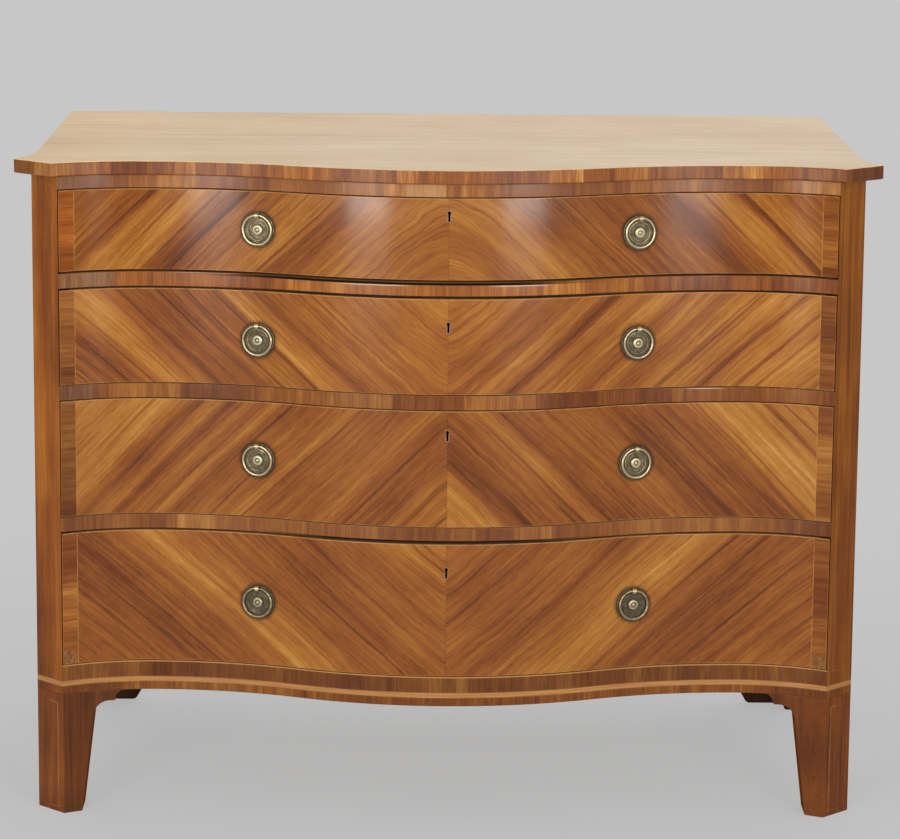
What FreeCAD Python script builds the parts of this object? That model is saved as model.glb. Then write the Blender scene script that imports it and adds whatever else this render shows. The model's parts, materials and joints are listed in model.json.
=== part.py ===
import FreeCAD, Part
import math
import os
import re

import Sketcher

# Serpentine chest of four drawers, in millimetres. +Z is up, the front faces -Y, and the
# origin is on the floor under the middle of the overall plan.

DRAWERS = range(1, 5)
SIDES = (("left", -1), ("right", 1))
BACK_BOARD_COUNT = 5

# Driving sizes: name, value and what it measures.
SIZES = (
    ("case_width", 1028, "case width over the outer edges of the two canted corners"),
    ("case_depth", 527, "outer edge of the canted corners to the back of the case"),
    ("cant_width", 35, "canted corner, measured across the chest"),
    ("cant_depth", 35, "canted corner, measured front to back"),
    ("bow", 44, "middle of the front ahead of its two ends"),
    ("hollow", 30.5, "hollows of the front behind its two ends"),
    ("hollow_run", 112, "end of the front to the deepest point of the hollow"),
    ("side_flare", 13, "canted corner standing outside the side panel"),
    ("flare_run", 70, "length of the curve that carries the side out to the corner"),
    ("foot_height", 154.5, "floor to the underside of the case"),
    ("base_rail_height", 37.5, "base rail under the lowest drawer"),
    ("opening_height_4", 171, "lowest drawer opening"),
    ("opening_height_3", 148, "third drawer opening"),
    ("opening_height_2", 122, "second drawer opening"),
    ("opening_height_1", 104.5, "top drawer opening"),
    ("divider_height", 18, "rail between two drawers, and the runners behind it"),
    ("top_rail_height", 16.9, "frieze rail under the top"),
    ("rail_back", 45, "straight back edge of the rails behind the corner"),
    ("top_thickness", 17.6, "top board"),
    ("top_front_overhang", 12.25, "top ahead of the front"),
    ("ear_inner_overhang", 5.5, "inner end of the top's canted ear beyond the front's end"),
    ("ear_outer_overhang", 20.5, "outer end of the top's canted ear beyond the case"),
    ("ear_forward", 4.5, "outer end of the ear ahead of the case corner"),
    ("ear_run", 85, "length of the curve from the top's side to its ear"),
    ("top_side_overhang", 13, "top beyond the side panels"),
    ("top_back_overhang", 13, "top beyond the back boards"),
    ("top_round", 2, "rounded edges of the top"),
    ("back_thickness", 12, "back boards"),
    ("board_joint", 1, "shrinkage joint between two back boards"),
    ("bottom_thickness", 14, "bottom board of the case"),
    ("runner_width", 24, "drawer runners"),
    ("dust_thickness", 8, "dustboards"),
    ("dust_drop", 5, "dustboards below the runners' top"),
    ("stop_width", 40, "drawer stop blocks, along the rail"),
    ("stop_length", 22, "drawer stop blocks, front to back"),
    ("stop_height", 7, "drawer stop blocks, above the rail"),
    ("stop_gap", 0.3, "closed drawer front to its stops"),
    ("foot_toe", 22, "bracket beside the cant at the floor"),
    ("foot_ankle", 37, "bracket beside the cant at the foot of its curve"),
    ("bracket_round", 18.5, "large hollow of the bracket"),
    ("bracket_flat", 8, "flat between the hollow and the cusp"),
    ("bracket_cove", 13.5, "small cove between the cusp and the case"),
    ("bracket_tip", 10, "bracket beyond its cusp"),
    ("foot_wall", 20, "back of the front brackets behind the corner"),
    ("rear_toe", 52, "rear foot on the side, at the floor"),
    ("rear_ankle", 67, "rear foot on the side, at the foot of its curve"),
    ("brace_thickness", 16, "plank across the back of a rear foot"),
    ("brace_toe", 71, "plank length at the floor"),
    ("brace_top", 160, "plank length under the case"),
    ("block_width", 13, "glue blocks inside the feet"),
    ("block_height", 64.5, "glue blocks under the case"),
    ("front_thickness", 24, "drawer fronts"),
    ("front_lap", 8, "wood in front of the lapped drawer sides"),
    ("drawer_play", 1, "drawer to corner post, each side"),
    ("runner_gap", 0.3, "drawer sides above their runners"),
    ("lining_side", 10, "drawer sides"),
    ("lining_back", 10, "drawer backs"),
    ("lining_bottom", 7, "drawer bottoms"),
    ("side_drop", 9, "drawer sides below the opening's ceiling"),
    ("drawer_back_drop", 15, "drawer backs below the opening's ceiling"),
    ("drawer_back_room", 15, "drawer to back boards"),
    ("bottom_rise", 11, "drawer bottoms above the runners"),
    ("groove_depth", 4, "grooves that hold the drawer bottoms"),
    ("front_over_1", 1.2, "gap above the top drawer's front"),
    ("front_over_2", 2.4, "gap above the second drawer's front"),
    ("front_over_3", 1.2, "gap above the third drawer's front"),
    ("front_over_4", 2.4, "gap above the lowest drawer's front"),
    ("front_under_1", 2.8, "gap below the top drawer's front"),
    ("front_under_2", 1.0, "gap below the second drawer's front"),
    ("front_under_3", 1.0, "gap below the third drawer's front"),
    ("front_under_4", 1.0, "gap below the lowest drawer's front"),
    ("pull_from_hollow", 133, "pulls inward of the deepest point of the hollow"),
    ("pull_rise_1", 56, "pull centre above the top drawer's opening floor"),
    ("pull_rise_2", 58.5, "pull centre above the second opening's floor"),
    ("pull_rise_3", 73.5, "pull centre above the third opening's floor"),
    ("pull_rise_4", 81.5, "pull centre above the lowest opening's floor"),
    ("key_drop_1", 23.5, "keyhole centre below the top opening's ceiling"),
    ("key_drop_2", 37.5, "keyhole centre below the second opening's ceiling"),
    ("key_drop_3", 32, "keyhole centre below the third opening's ceiling"),
    ("key_drop_4", 38.5, "keyhole centre below the lowest opening's ceiling"),
    ("key_head_radius", 2.2, "round head of the keyhole"),
    ("key_slot_width", 2.6, "slot of the keyhole"),
    ("key_length", 13, "keyhole from top to bottom"),
    ("liner_wall", 0.9, "metal thread that lines the keyhole"),
    ("liner_depth", 6, "how deep the lining goes"),
    ("lock_width", 56, "lock case"),
    ("lock_height", 54, "lock case"),
    ("lock_depth", 12, "lock case"),
    ("lock_proud", 1, "lock case behind the middle of the drawer front"),
    ("lock_wall", 3.5, "front plate of the lock, ahead of the bolt"),
    ("keyway_depth", 2.5, "keyway in the front plate of the lock"),
    ("bolt_width", 14, "lock bolt"),
    ("bolt_thickness", 6, "lock bolt"),
    ("bolt_length", 24, "lock bolt"),
    ("bolt_sink", 0.2, "drawn bolt below the drawer front's top edge"),
    ("bolt_play", 0.25, "bolt to its slot, all round"),
    ("mortise_play", 1, "bolt to the mortise in the rail above, all round"),
    ("mortise_depth", 10, "mortise in the rail above"),
    ("screw_radius", 1.5, "lock screws"),
    ("screw_head_radius", 3, "heads of the lock screws"),
    ("screw_head_depth", 1.5, "heads of the lock screws"),
    ("screw_length", 17, "lock screws over the heads"),
    ("screw_inset", 6, "lock screws from the edges of the lock case"),
    ("plate_radius", 21.8, "stamped back plate of a pull"),
    ("plate_thickness", 1.1, "field of the back plate"),
    ("rim_bead", 1.5, "bead round the edge of the plate"),
    ("field_bead_radius", 13.4, "crest of the plate's inner bead"),
    ("field_bead", 0.9, "plate's inner bead"),
    ("boss_radius", 6.6, "boss in the middle of the plate"),
    ("boss_edge", 1.9, "boss height at its edge"),
    ("boss_height", 4.2, "boss height at its crown"),
    ("ring_radius", 18.2, "ring handle to the middle of its wire"),
    ("ring_wire", 1.6, "radius of the ring's wire"),
    ("ring_gap", 0.3, "hanging ring to the rim of its plate"),
    ("eye_room", 4, "half the gap in the ring that takes the eye"),
    ("eye_width", 5, "eye of the bolt that carries the ring"),
    ("eye_radius", 3.6, "eye of the bolt"),
    ("eye_play", 0.2, "eye to its notch in the rim of the plate"),
    ("pin_radius", 1.3, "straight pin of the ring in the eye"),
    ("pin_play", 0.06, "pin to the bore of the eye"),
    ("stem_radius", 2.2, "stem of the eye bolt"),
    ("stem_play", 0.2, "stem to its hole in plate and drawer front"),
    ("nut_width", 10, "square nut inside the drawer"),
    ("nut_thickness", 4, "square nut inside the drawer"),
    ("nut_play", 0.05, "nut to stem, in place of the thread"),
    ("nut_gap", 0.2, "nut to the curved inside of the drawer front"),
    ("stem_tail", 4, "stem beyond the nut"),
    ("cut_margin", 5, "cutting shapes past the faces that they cut"),
)

# Places and sizes that follow from the driving sizes.
DERIVED = [
    ("case_half", "case_width / 2"),
    ("face_end", "case_half - cant_width"),
    ("hollow_x", "face_end - hollow_run"),
    ("bend_x", "hollow_x / 2"),
    ("corner_y", "(cant_depth + bow + top_front_overhang - case_depth - top_back_overhang) / 2"),
    ("face_y", "corner_y - cant_depth"),
    ("hollow_y", "face_y + hollow"),
    ("bow_y", "face_y - bow"),
    ("bend_y", "(hollow_y + bow_y) / 2"),
    ("sweep_radius", "(bend_x^2 + (hollow_y - bend_y)^2) / (2 * (hollow_y - bend_y))"),
    ("end_radius", "(hollow_run^2 + hollow^2) / (2 * hollow)"),
    ("side_face", "case_half - side_flare"),
    ("flare_y", "corner_y + flare_run"),
    ("back_y", "corner_y + case_depth"),
    ("rail_back_y", "corner_y + rail_back"),
    ("back_front_y", "back_y - back_thickness"),
    ("opening_floor_4", "foot_height + base_rail_height"),
    ("opening_top_4", "opening_floor_4 + opening_height_4"),
    ("opening_floor_3", "opening_top_4 + divider_height"),
    ("opening_top_3", "opening_floor_3 + opening_height_3"),
    ("opening_floor_2", "opening_top_3 + divider_height"),
    ("opening_top_2", "opening_floor_2 + opening_height_2"),
    ("opening_floor_1", "opening_top_2 + divider_height"),
    ("opening_top_1", "opening_floor_1 + opening_height_1"),
    ("case_top", "opening_top_1 + top_rail_height"),
    ("case_height", "case_top - foot_height"),
    ("top_end_x", "face_end + ear_inner_overhang"),
    ("top_end_y", "face_y - top_front_overhang"),
    ("top_hollow_y", "hollow_y - top_front_overhang"),
    ("top_bend_y", "bend_y - top_front_overhang"),
    ("top_bow_y", "bow_y - top_front_overhang"),
    ("ear_x", "case_half + ear_outer_overhang"),
    ("ear_y", "corner_y - ear_forward"),
    ("ear_flare_y", "ear_y + ear_run"),
    ("top_side_x", "side_face + top_side_overhang"),
    ("top_back_y", "back_y + top_back_overhang"),
    ("toe_x", "face_end - foot_toe"),
    ("ankle_x", "face_end - foot_ankle"),
    ("round_x", "ankle_x - bracket_round"),
    ("cusp_x", "round_x - bracket_flat"),
    ("cove_x", "cusp_x - bracket_cove"),
    ("tip_x", "cusp_x - bracket_tip"),
    ("tip_y", "hollow_y - end_radius + sqrt(end_radius^2 - (tip_x - hollow_x)^2)"),
    ("cut_x", "cove_x - cut_margin"),
    ("toe_y", "corner_y + foot_toe"),
    ("ankle_y", "corner_y + foot_ankle"),
    ("round_y", "ankle_y + bracket_round"),
    ("cusp_y", "round_y + bracket_flat"),
    ("cove_y", "cusp_y + bracket_cove"),
    ("side_tip_y", "cusp_y + bracket_tip"),
    ("cut_y", "cove_y + cut_margin"),
    ("foot_back_y", "corner_y + foot_wall"),
    ("cusp_z", "foot_height - bracket_cove"),
    ("ankle_z", "cusp_z - bracket_round"),
    ("rear_toe_y", "back_y - rear_toe"),
    ("rear_ankle_y", "back_y - rear_ankle"),
    ("rear_round_y", "rear_ankle_y - bracket_round"),
    ("rear_cusp_y", "rear_round_y - bracket_flat"),
    ("rear_cove_y", "rear_cusp_y - bracket_cove"),
    ("rear_tip_y", "rear_cusp_y - bracket_tip"),
    ("rear_cut_y", "rear_cove_y - cut_margin"),
    ("brace_y", "back_y - brace_thickness"),
    ("brace_toe_x", "side_face - brace_toe"),
    ("brace_top_x", "side_face - brace_top"),
    ("brace_cut_x", "brace_top_x - cut_margin"),
    ("front_end_x", "face_end - drawer_play"),
    ("inner_end_x", "front_end_x - lining_side"),
    ("lap_y", "face_y + front_lap"),
    ("inner_end_y", "face_y + front_thickness"),
    ("inner_hollow_y", "hollow_y + front_thickness"),
    ("inner_bend_y", "bend_y + front_thickness"),
    ("inner_bow_y", "bow_y + front_thickness"),
    ("tongue_end_x", "inner_end_x + groove_depth"),
    ("tongue_end_y", "inner_end_y - groove_depth"),
    ("tongue_hollow_y", "inner_hollow_y - groove_depth"),
    ("tongue_bend_y", "inner_bend_y - groove_depth"),
    ("tongue_bow_y", "inner_bow_y - groove_depth"),
    ("box_back_y", "back_front_y - drawer_back_room"),
    ("lock_y", "inner_bow_y + lock_proud - lock_depth"),
    ("bolt_y", "lock_y + lock_wall"),
    ("pull_x", "hollow_x - pull_from_hollow"),
    ("pull_angle", "asin(pull_from_hollow / sweep_radius)"),
    ("pull_y", "hollow_y - sweep_radius + sqrt(sweep_radius^2 - pull_from_hollow^2)"),
    ("seat_gap", "sweep_radius - sqrt(sweep_radius^2 - plate_radius^2)"),
    ("seat_x", "pull_x + seat_gap * sin(pull_angle)"),
    ("seat_y", "pull_y - seat_gap * cos(pull_angle)"),
    ("rim_crest", "plate_radius - rim_bead"),
    ("rim_inner", "plate_radius - 2 * rim_bead"),
    ("rim_height", "plate_thickness + rim_bead"),
    ("field_bead_outer", "field_bead_radius + field_bead"),
    ("field_bead_inner", "field_bead_radius - field_bead"),
    ("field_bead_height", "plate_thickness + field_bead"),
    ("ring_plane", "rim_height + ring_wire + ring_gap"),
    ("pin_z", "sqrt(ring_radius^2 - eye_room^2)"),
    ("bore_radius", "pin_radius + pin_play"),
    ("stem_front", "ring_plane - (bore_radius + eye_radius) / 2"),
    ("notch_half", "eye_width / 2 + eye_play"),
    ("notch_low_z", "pin_z - eye_radius - eye_play"),
    ("notch_high_z", "plate_radius + cut_margin"),
    ("nut_y", "seat_gap + front_thickness * cos(pull_angle) + nut_gap"),
    ("hole_radius", "stem_radius + stem_play"),
    ("nut_half", "nut_width / 2"),
    ("nut_low_z", "pin_z - nut_half"),
    ("nut_high_z", "pin_z + nut_half"),
    ("nut_bore", "stem_radius + nut_play"),
]
for n in DRAWERS:
    DERIVED += [
        (f"front_base_{n}", f"opening_floor_{n} + front_under_{n}"),
        (f"front_top_{n}", f"opening_top_{n} - front_over_{n}"),
        (f"pull_z_{n}", f"opening_floor_{n} + pull_rise_{n}"),
        (f"key_z_{n}", f"opening_top_{n} - key_drop_{n}"),
        (f"key_head_{n}", f"key_z_{n} + key_length / 2 - key_head_radius"),
        (f"key_foot_{n}", f"key_z_{n} - key_length / 2"),
    ]

doc = FreeCAD.newDocument("serpentine_chest")
sheet = doc.addObject("Spreadsheet::Sheet", "Sizes")
for row, (alias, value, note) in enumerate(SIZES, start=1):
    sheet.set(f"A{row}", note)
    sheet.set(f"B{row}", str(value))
    sheet.setAlias(f"B{row}", alias)
for row, (alias, text) in enumerate(DERIVED, start=len(SIZES) + 1):
    sheet.set(f"A{row}", alias.replace("_", " "))
    sheet.set(f"B{row}", "=" + text)
    sheet.setAlias(f"B{row}", alias)
doc.recompute()

ALIASES = {size[0] for size in SIZES} | {size[0] for size in DERIVED}
WORD = re.compile(r"[a-z][a-z_0-9]*")
UP = FreeCAD.Vector(0, 0, 1)
SIDEWAYS = FreeCAD.Vector(1, 0, 0)
ROOT_POINT = (-1, 1)
HORIZONTAL_AXIS = -1
VERTICAL_AXIS = -2
START, END, CENTRE = 1, 2, 3


def linked(text):
    """Turn a formula of size names into an expression on the sheet."""
    def name(match):
        return "Sizes." + match.group() if match.group() in ALIASES else match.group()
    return WORD.sub(name, str(text))


def bind(item, **formulas):
    """Bind properties of an object to formulas of size names; '__' stands for a dot."""
    for prop, text in formulas.items():
        item.setExpression(prop.replace("__", "."), linked(text))


def place(item, x=None, y=None, z=None, turn=None):
    """Bind an object's position, and its turn about Z, to formulas."""
    for axis, text in (("x", x), ("y", y), ("z", z)):
        if text is not None:
            item.setExpression("Placement.Base." + axis, linked(text))
    if turn is not None:
        item.setExpression("Placement.Rotation.Angle", linked(turn))


def number(spec):
    """Value of a sketch coordinate: a size name, a size name after a minus sign, or '0'."""
    if spec == "0":
        return 0.0
    value = float(sheet.get(spec.lstrip("-")))
    return -value if spec.startswith("-") else value


def pin_point(sketch, curve, point, spec_x, spec_y):
    """Fix a point of a curve at two coordinates, each bound to its size."""
    pairs = (("DistanceX", spec_x, VERTICAL_AXIS), ("DistanceY", spec_y, HORIZONTAL_AXIS))
    for kind, spec, axis in pairs:
        if spec is None:
            continue
        if spec == "0":
            sketch.addConstraint(Sketcher.Constraint("PointOnObject", curve, point, axis))
            continue
        rule = Sketcher.Constraint(kind, *ROOT_POINT, curve, point, number(spec))
        index = sketch.addConstraint(rule)
        sketch.setExpression(f"Constraints[{index}]", linked(spec))


def arc_between(start, end, centre):
    """Shorter arc about a centre, and whether it runs from start to end."""
    radius = math.hypot(start[0] - centre[0], start[1] - centre[1])
    first = math.atan2(start[1] - centre[1], start[0] - centre[0])
    last = math.atan2(end[1] - centre[1], end[0] - centre[0])
    forward = (last - first) % (2 * math.pi) < math.pi
    if not forward:
        first, last = last, first
    circle = Part.Circle(FreeCAD.Vector(*centre, 0), UP, radius)
    return Part.ArcOfCircle(circle, first, last), forward


def arc_centre(start, end, x, y):
    """Centre of the arc through two points, of which one coordinate is known."""
    if x is not None:
        gap = (end[0] - x) ** 2 - (start[0] - x) ** 2
        return x, (gap + end[1] ** 2 - start[1] ** 2) / (2 * (end[1] - start[1]))
    gap = (end[1] - y) ** 2 - (start[1] - y) ** 2
    return (gap + end[0] ** 2 - start[0] ** 2) / (2 * (end[0] - start[0])), y


def add_sketch(body, name, plane, offset=None):
    """Sketch on one of the body's own planes, moved along the plane's normal by a formula."""
    sketch = body.newObject("Sketcher::SketchObject", name)
    roles = {feature.Role: feature for feature in body.Origin.OriginFeatures}
    sketch.AttachmentSupport = [(roles[plane], "")]
    sketch.MapMode = "FlatFace"
    if offset is not None:
        bind(sketch, AttachmentOffset__Base__z=offset)
    return sketch


def add_outline(sketch, corners):
    """Closed outline of corners (x, y, arc).

    arc shapes the edge that leaves the corner: None for a straight one, or ("x", size) or
    ("y", size) for an arc whose centre has that coordinate.
    """
    ends = []
    for index, (x, y, arc) in enumerate(corners):
        following = corners[(index + 1) % len(corners)]
        start = (number(x), number(y))
        end = (number(following[0]), number(following[1]))
        forward = True
        if arc is None:
            edge = Part.LineSegment(FreeCAD.Vector(*start, 0), FreeCAD.Vector(*end, 0))
        else:
            known = {arc[0]: number(arc[1])}
            centre = arc_centre(start, end, known.get("x"), known.get("y"))
            edge, forward = arc_between(start, end, centre)
        curve = sketch.addGeometry(edge)
        if arc is not None:
            centre_x = arc[1] if arc[0] == "x" else None
            centre_y = arc[1] if arc[0] == "y" else None
            pin_point(sketch, curve, CENTRE, centre_x, centre_y)
        ends.append((curve, (START, END) if forward else (END, START)))
    for index, (x, y, arc) in enumerate(corners):
        curve, (tail, head) = ends[index]
        before, (before_tail, before_head) = ends[index - 1]
        sketch.addConstraint(Sketcher.Constraint("Coincident", before, before_head, curve, tail))
        pin_point(sketch, curve, tail, x, y)


def add_circle(sketch, x, y, radius):
    """Circle whose centre and radius are bound to sizes."""
    middle = FreeCAD.Vector(number(x), number(y), 0)
    curve = sketch.addGeometry(Part.Circle(middle, UP, number(radius)))
    pin_point(sketch, curve, CENTRE, x, y)
    index = sketch.addConstraint(Sketcher.Constraint("Radius", curve, number(radius)))
    sketch.setExpression(f"Constraints[{index}]", linked(radius))


def add_pad(body, sketch, length, both_ways=False, backwards=False):
    """Pad a sketch by a formula."""
    pad = body.newObject("PartDesign::Pad", sketch.Name + "_pad")
    pad.Profile = sketch
    pad.Midplane = both_ways
    pad.Reversed = backwards
    bind(pad, Length=length)
    return pad


def new_body(label):
    """Empty body that carries a label."""
    body = doc.addObject("PartDesign::Body", label)
    body.Label = label
    return body


def prism(label, corners, base, height):
    """Upright prism of a plan outline between two heights."""
    body = new_body(label)
    sketch = add_sketch(body, label + "_plan", "XY_Plane")
    add_outline(sketch, corners)
    add_pad(body, sketch, height)
    place(body, z=base)
    return body


def box(label, x, y, z, size_x, size_y, size_z):
    """Box from its lowest corner and its three sizes, all formulas."""
    item = doc.addObject("Part::Box", label)
    item.Label = label
    bind(item, Length=size_x, Width=size_y, Height=size_z)
    place(item, x, y, z)
    return item


def rod_y(label, x, y, z, radius, length):
    """Round rod from a point towards +Y."""
    item = doc.addObject("Part::Cylinder", label)
    item.Label = label
    item.Placement = FreeCAD.Placement(FreeCAD.Vector(), FreeCAD.Rotation(SIDEWAYS, -90))
    bind(item, Radius=radius, Height=length)
    place(item, x, y, z)
    return item


def group(label, items):
    """Several separate solids under one label."""
    item = doc.addObject("Part::Compound", label)
    item.Label = label
    item.Links = items
    return item


def fused(label, items):
    """One solid of several that overlap."""
    item = doc.addObject("Part::MultiFuse", label)
    item.Label = label
    item.Shapes = items
    return item


def cut(label, base, tools):
    """Base with one or more tools cut out of it."""
    item = doc.addObject("Part::Cut", label)
    item.Label = label
    item.Base = base
    item.Tool = tools[0] if len(tools) == 1 else group(label + "_tools", tools)
    return item


def mirrored(label, source):
    """The same piece on the other side of the chest."""
    item = doc.addObject("Part::Mirroring", label)
    item.Label = label
    item.Source = source
    item.Normal = SIDEWAYS
    return item


def front_curve(end_x, end_y, hollow_line, bend_line, bow_line):
    """Corners of the serpentine from its left end to its right end."""
    left = [
        ("-" + end_x, end_y, ("x", "-hollow_x")),
        ("-hollow_x", hollow_line, ("x", "-hollow_x")),
        ("-bend_x", bend_line, ("x", "0")),
    ]
    right = [
        ("bend_x", bend_line, ("x", "hollow_x")),
        ("hollow_x", hollow_line, ("x", "hollow_x")),
        (end_x, end_y, None),
    ]
    return left + [("0", bow_line, ("x", "0"))] + right


def reversed_curve(corners):
    """The same curve run the other way, with each arc on the edge that it shapes."""
    arcs = [corner[2] for corner in corners[:-1]]
    points = [corner[:2] for corner in reversed(corners)]
    return [(*point, arc) for point, arc in zip(points, [*reversed(arcs), None])]


nodes = []


def node(item):
    """Hand an object in as a named piece of the chest."""
    nodes.append(item)
    return item


def build_top():
    """Top board: serpentine front, canted ears, sides that curve out to the ears."""
    front = front_curve("top_end_x", "top_end_y", "top_hollow_y", "top_bend_y", "top_bow_y")
    corners = front + [
        ("ear_x", "ear_y", ("y", "ear_flare_y")),
        ("top_side_x", "ear_flare_y", None),
        ("top_side_x", "top_back_y", None),
        ("-top_side_x", "top_back_y", None),
        ("-top_side_x", "ear_flare_y", ("y", "ear_flare_y")),
        ("-ear_x", "ear_y", None),
    ]
    body = prism("top_board", corners, "case_top", "top_thickness")
    doc.recompute()
    pad = body.Tip
    flat = [face for face in pad.Shape.Faces if abs(face.normalAt(0, 0).z) > 0.99]
    rims = [edge for face in flat for edge in face.Edges]
    names = [
        f"Edge{index}" for index, edge in enumerate(pad.Shape.Edges, start=1)
        if any(edge.isSame(rim) for rim in rims)
    ]
    rounding = body.newObject("PartDesign::Fillet", "top_board_edges")
    rounding.Base = (pad, names)
    bind(rounding, Radius="top_round")
    node(body)


def build_rails():
    """Frieze rail, three divider rails and base rail, with mortises for the lock bolts."""
    plan = front_curve("face_end", "face_y", "hollow_y", "bend_y", "bow_y") + [
        ("face_end", "rail_back_y", None),
        ("-face_end", "rail_back_y", None),
    ]
    levels = (
        ("top_rail", "opening_top_1", "top_rail_height"),
        ("divider_rail_1", "opening_top_2", "divider_height"),
        ("divider_rail_2", "opening_top_3", "divider_height"),
        ("divider_rail_3", "opening_top_4", "divider_height"),
    )
    for label, base, height in levels:
        blank = prism(label + "_blank", plan, base, height)
        mortise = box(
            label + "_mortise", "-bolt_width / 2 - mortise_play", "bolt_y - mortise_play",
            f"{base} - cut_margin", "bolt_width + 2 * mortise_play",
            "bolt_thickness + 2 * mortise_play", "mortise_depth + cut_margin",
        )
        node(cut(label, blank, [mortise]))
    node(prism("base_rail", plan, "foot_height", "base_rail_height"))


def build_carcass():
    """Corner posts, side panels, back boards, bottom, runners, dustboards and stops."""
    post = prism("right_corner_post", [
        ("face_end", "face_y", None),
        ("case_half", "corner_y", ("y", "flare_y")),
        ("side_face", "flare_y", None),
        ("face_end", "flare_y", None),
    ], "foot_height", "case_height")
    node(post)
    node(mirrored("left_corner_post", post))
    panel = box(
        "right_side_panel", "face_end", "flare_y", "foot_height",
        "side_face - face_end", "back_y - flare_y", "case_height",
    )
    node(panel)
    node(mirrored("left_side_panel", panel))

    board = f"((2 * face_end - {BACK_BOARD_COUNT - 1} * board_joint) / {BACK_BOARD_COUNT})"
    node(group("back_boards", [
        box(
            f"back_board_{index}", f"{index} * ({board} + board_joint) - face_end",
            "back_front_y", "foot_height", board, "back_thickness", "case_height",
        )
        for index in range(BACK_BOARD_COUNT)
    ]))
    inside = "back_front_y - rail_back_y"
    node(box(
        "bottom_board", "-face_end", "rail_back_y",
        "opening_floor_4 - divider_height - bottom_thickness",
        "2 * face_end", inside, "bottom_thickness",
    ))
    node(group("drawer_runners", [
        box(
            f"runner_{n}_{side}", f"{sign} * (face_end - runner_width / 2) - runner_width / 2",
            "rail_back_y", f"opening_floor_{n} - divider_height",
            "runner_width", inside, "divider_height",
        )
        for n in DRAWERS for side, sign in SIDES
    ]))
    node(group("dustboards", [
        box(
            f"dustboard_{n}", "runner_width - face_end", "rail_back_y",
            f"opening_floor_{n} - dust_drop - dust_thickness",
            "2 * (face_end - runner_width)", inside, "dust_thickness",
        )
        for n in DRAWERS[:-1]
    ]))
    node(group("drawer_stops", [
        box(
            f"stop_{n}_{side}", f"{sign} * hollow_x - stop_width / 2",
            "inner_hollow_y + stop_gap", f"opening_floor_{n}",
            "stop_width", "stop_length", "stop_height",
        )
        for n in DRAWERS for side, sign in SIDES
    ]))


def bracket_profile(toe, ankle, round_centre, cusp, cove, end):
    """Waste under a bracket: tapered leg, large hollow, cusp and small cove."""
    return [
        (toe, "0", None),
        (ankle, "ankle_z", ("x", round_centre)),
        (round_centre, "cusp_z", None),
        (cusp, "cusp_z", ("x", cove)),
        (cove, "foot_height", None),
        (end, "foot_height", None),
        (end, "-cut_margin", None),
        (toe, "-cut_margin", None),
    ]


def waste(label, plane, profile, start, length, backwards):
    """Cutting shape: a profile run along the plane's normal from a start, by a length."""
    body = new_body(label)
    sketch = add_sketch(body, label + "_profile", plane, start)
    add_outline(sketch, profile)
    add_pad(body, sketch, length, backwards=backwards)
    return body


def build_feet():
    """Canted front feet, rear feet with a plank across the back, and glue blocks."""
    front_blank = prism("front_foot_blank", [
        ("case_half", "corner_y", ("y", "flare_y")),
        ("side_face", "flare_y", None),
        ("side_face", "side_tip_y", None),
        ("face_end", "side_tip_y", None),
        ("face_end", "foot_back_y", None),
        ("tip_x", "foot_back_y", None),
        ("tip_x", "tip_y", ("x", "hollow_x")),
        ("face_end", "face_y", None),
    ], "0", "foot_height")
    front_waste = waste(
        "front_bracket_waste", "XZ_Plane",
        bracket_profile("toe_x", "ankle_x", "round_x", "cusp_x", "cove_x", "cut_x"),
        "cut_margin - face_y", "foot_back_y - face_y + 2 * cut_margin", True,
    )
    side_waste = waste(
        "side_bracket_waste", "YZ_Plane",
        bracket_profile("toe_y", "ankle_y", "round_y", "cusp_y", "cove_y", "cut_y"),
        "face_end - cut_margin", "case_half - face_end + 2 * cut_margin", False,
    )
    front_foot = node(cut("front_right_foot", front_blank, [front_waste, side_waste]))
    node(mirrored("front_left_foot", front_foot))

    rear_blank = prism("rear_foot_blank", [
        ("face_end", "rear_tip_y", None),
        ("side_face", "rear_tip_y", None),
        ("side_face", "back_y", None),
        ("brace_top_x", "back_y", None),
        ("brace_top_x", "brace_y", None),
        ("face_end", "brace_y", None),
    ], "0", "foot_height")
    rear_waste = waste(
        "rear_bracket_waste", "YZ_Plane",
        bracket_profile(
            "rear_toe_y", "rear_ankle_y", "rear_round_y", "rear_cusp_y", "rear_cove_y",
            "rear_cut_y",
        ),
        "face_end - cut_margin", "case_half - face_end + 2 * cut_margin", False,
    )
    brace_waste = waste("brace_waste", "XZ_Plane", [
        ("brace_toe_x", "0", None),
        ("brace_top_x", "foot_height", None),
        ("brace_cut_x", "foot_height", None),
        ("brace_cut_x", "-cut_margin", None),
        ("brace_toe_x", "-cut_margin", None),
    ], "cut_margin - brace_y", "brace_thickness + 2 * cut_margin", True)
    rear_foot = node(cut("rear_right_foot", rear_blank, [rear_waste, brace_waste]))
    node(mirrored("rear_left_foot", rear_foot))

    corners = (("front", "foot_back_y"), ("rear", "brace_y - block_width"))
    node(group("glue_blocks", [
        box(
            f"{end}_{side}_block", f"{sign} * (face_end - block_width / 2) - block_width / 2",
            y, "foot_height - block_height", "block_width", "block_width", "block_height",
        )
        for end, y in corners for side, sign in SIDES
    ]))


def keyhole(label, n, wall, y, depth):
    """Solid in the shape of a drawer's keyhole, widened by a wall, from y towards +Y."""
    head = rod_y(label + "_head", "0", y, f"key_head_{n}", f"key_head_radius + {wall}", depth)
    slot = box(
        label + "_slot", f"-key_slot_width / 2 - {wall}", y, f"key_foot_{n} - {wall}",
        f"key_slot_width + 2 * {wall}", depth, f"key_head_{n} - key_foot_{n} + {wall}",
    )
    return fused(label, [head, slot])


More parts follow.
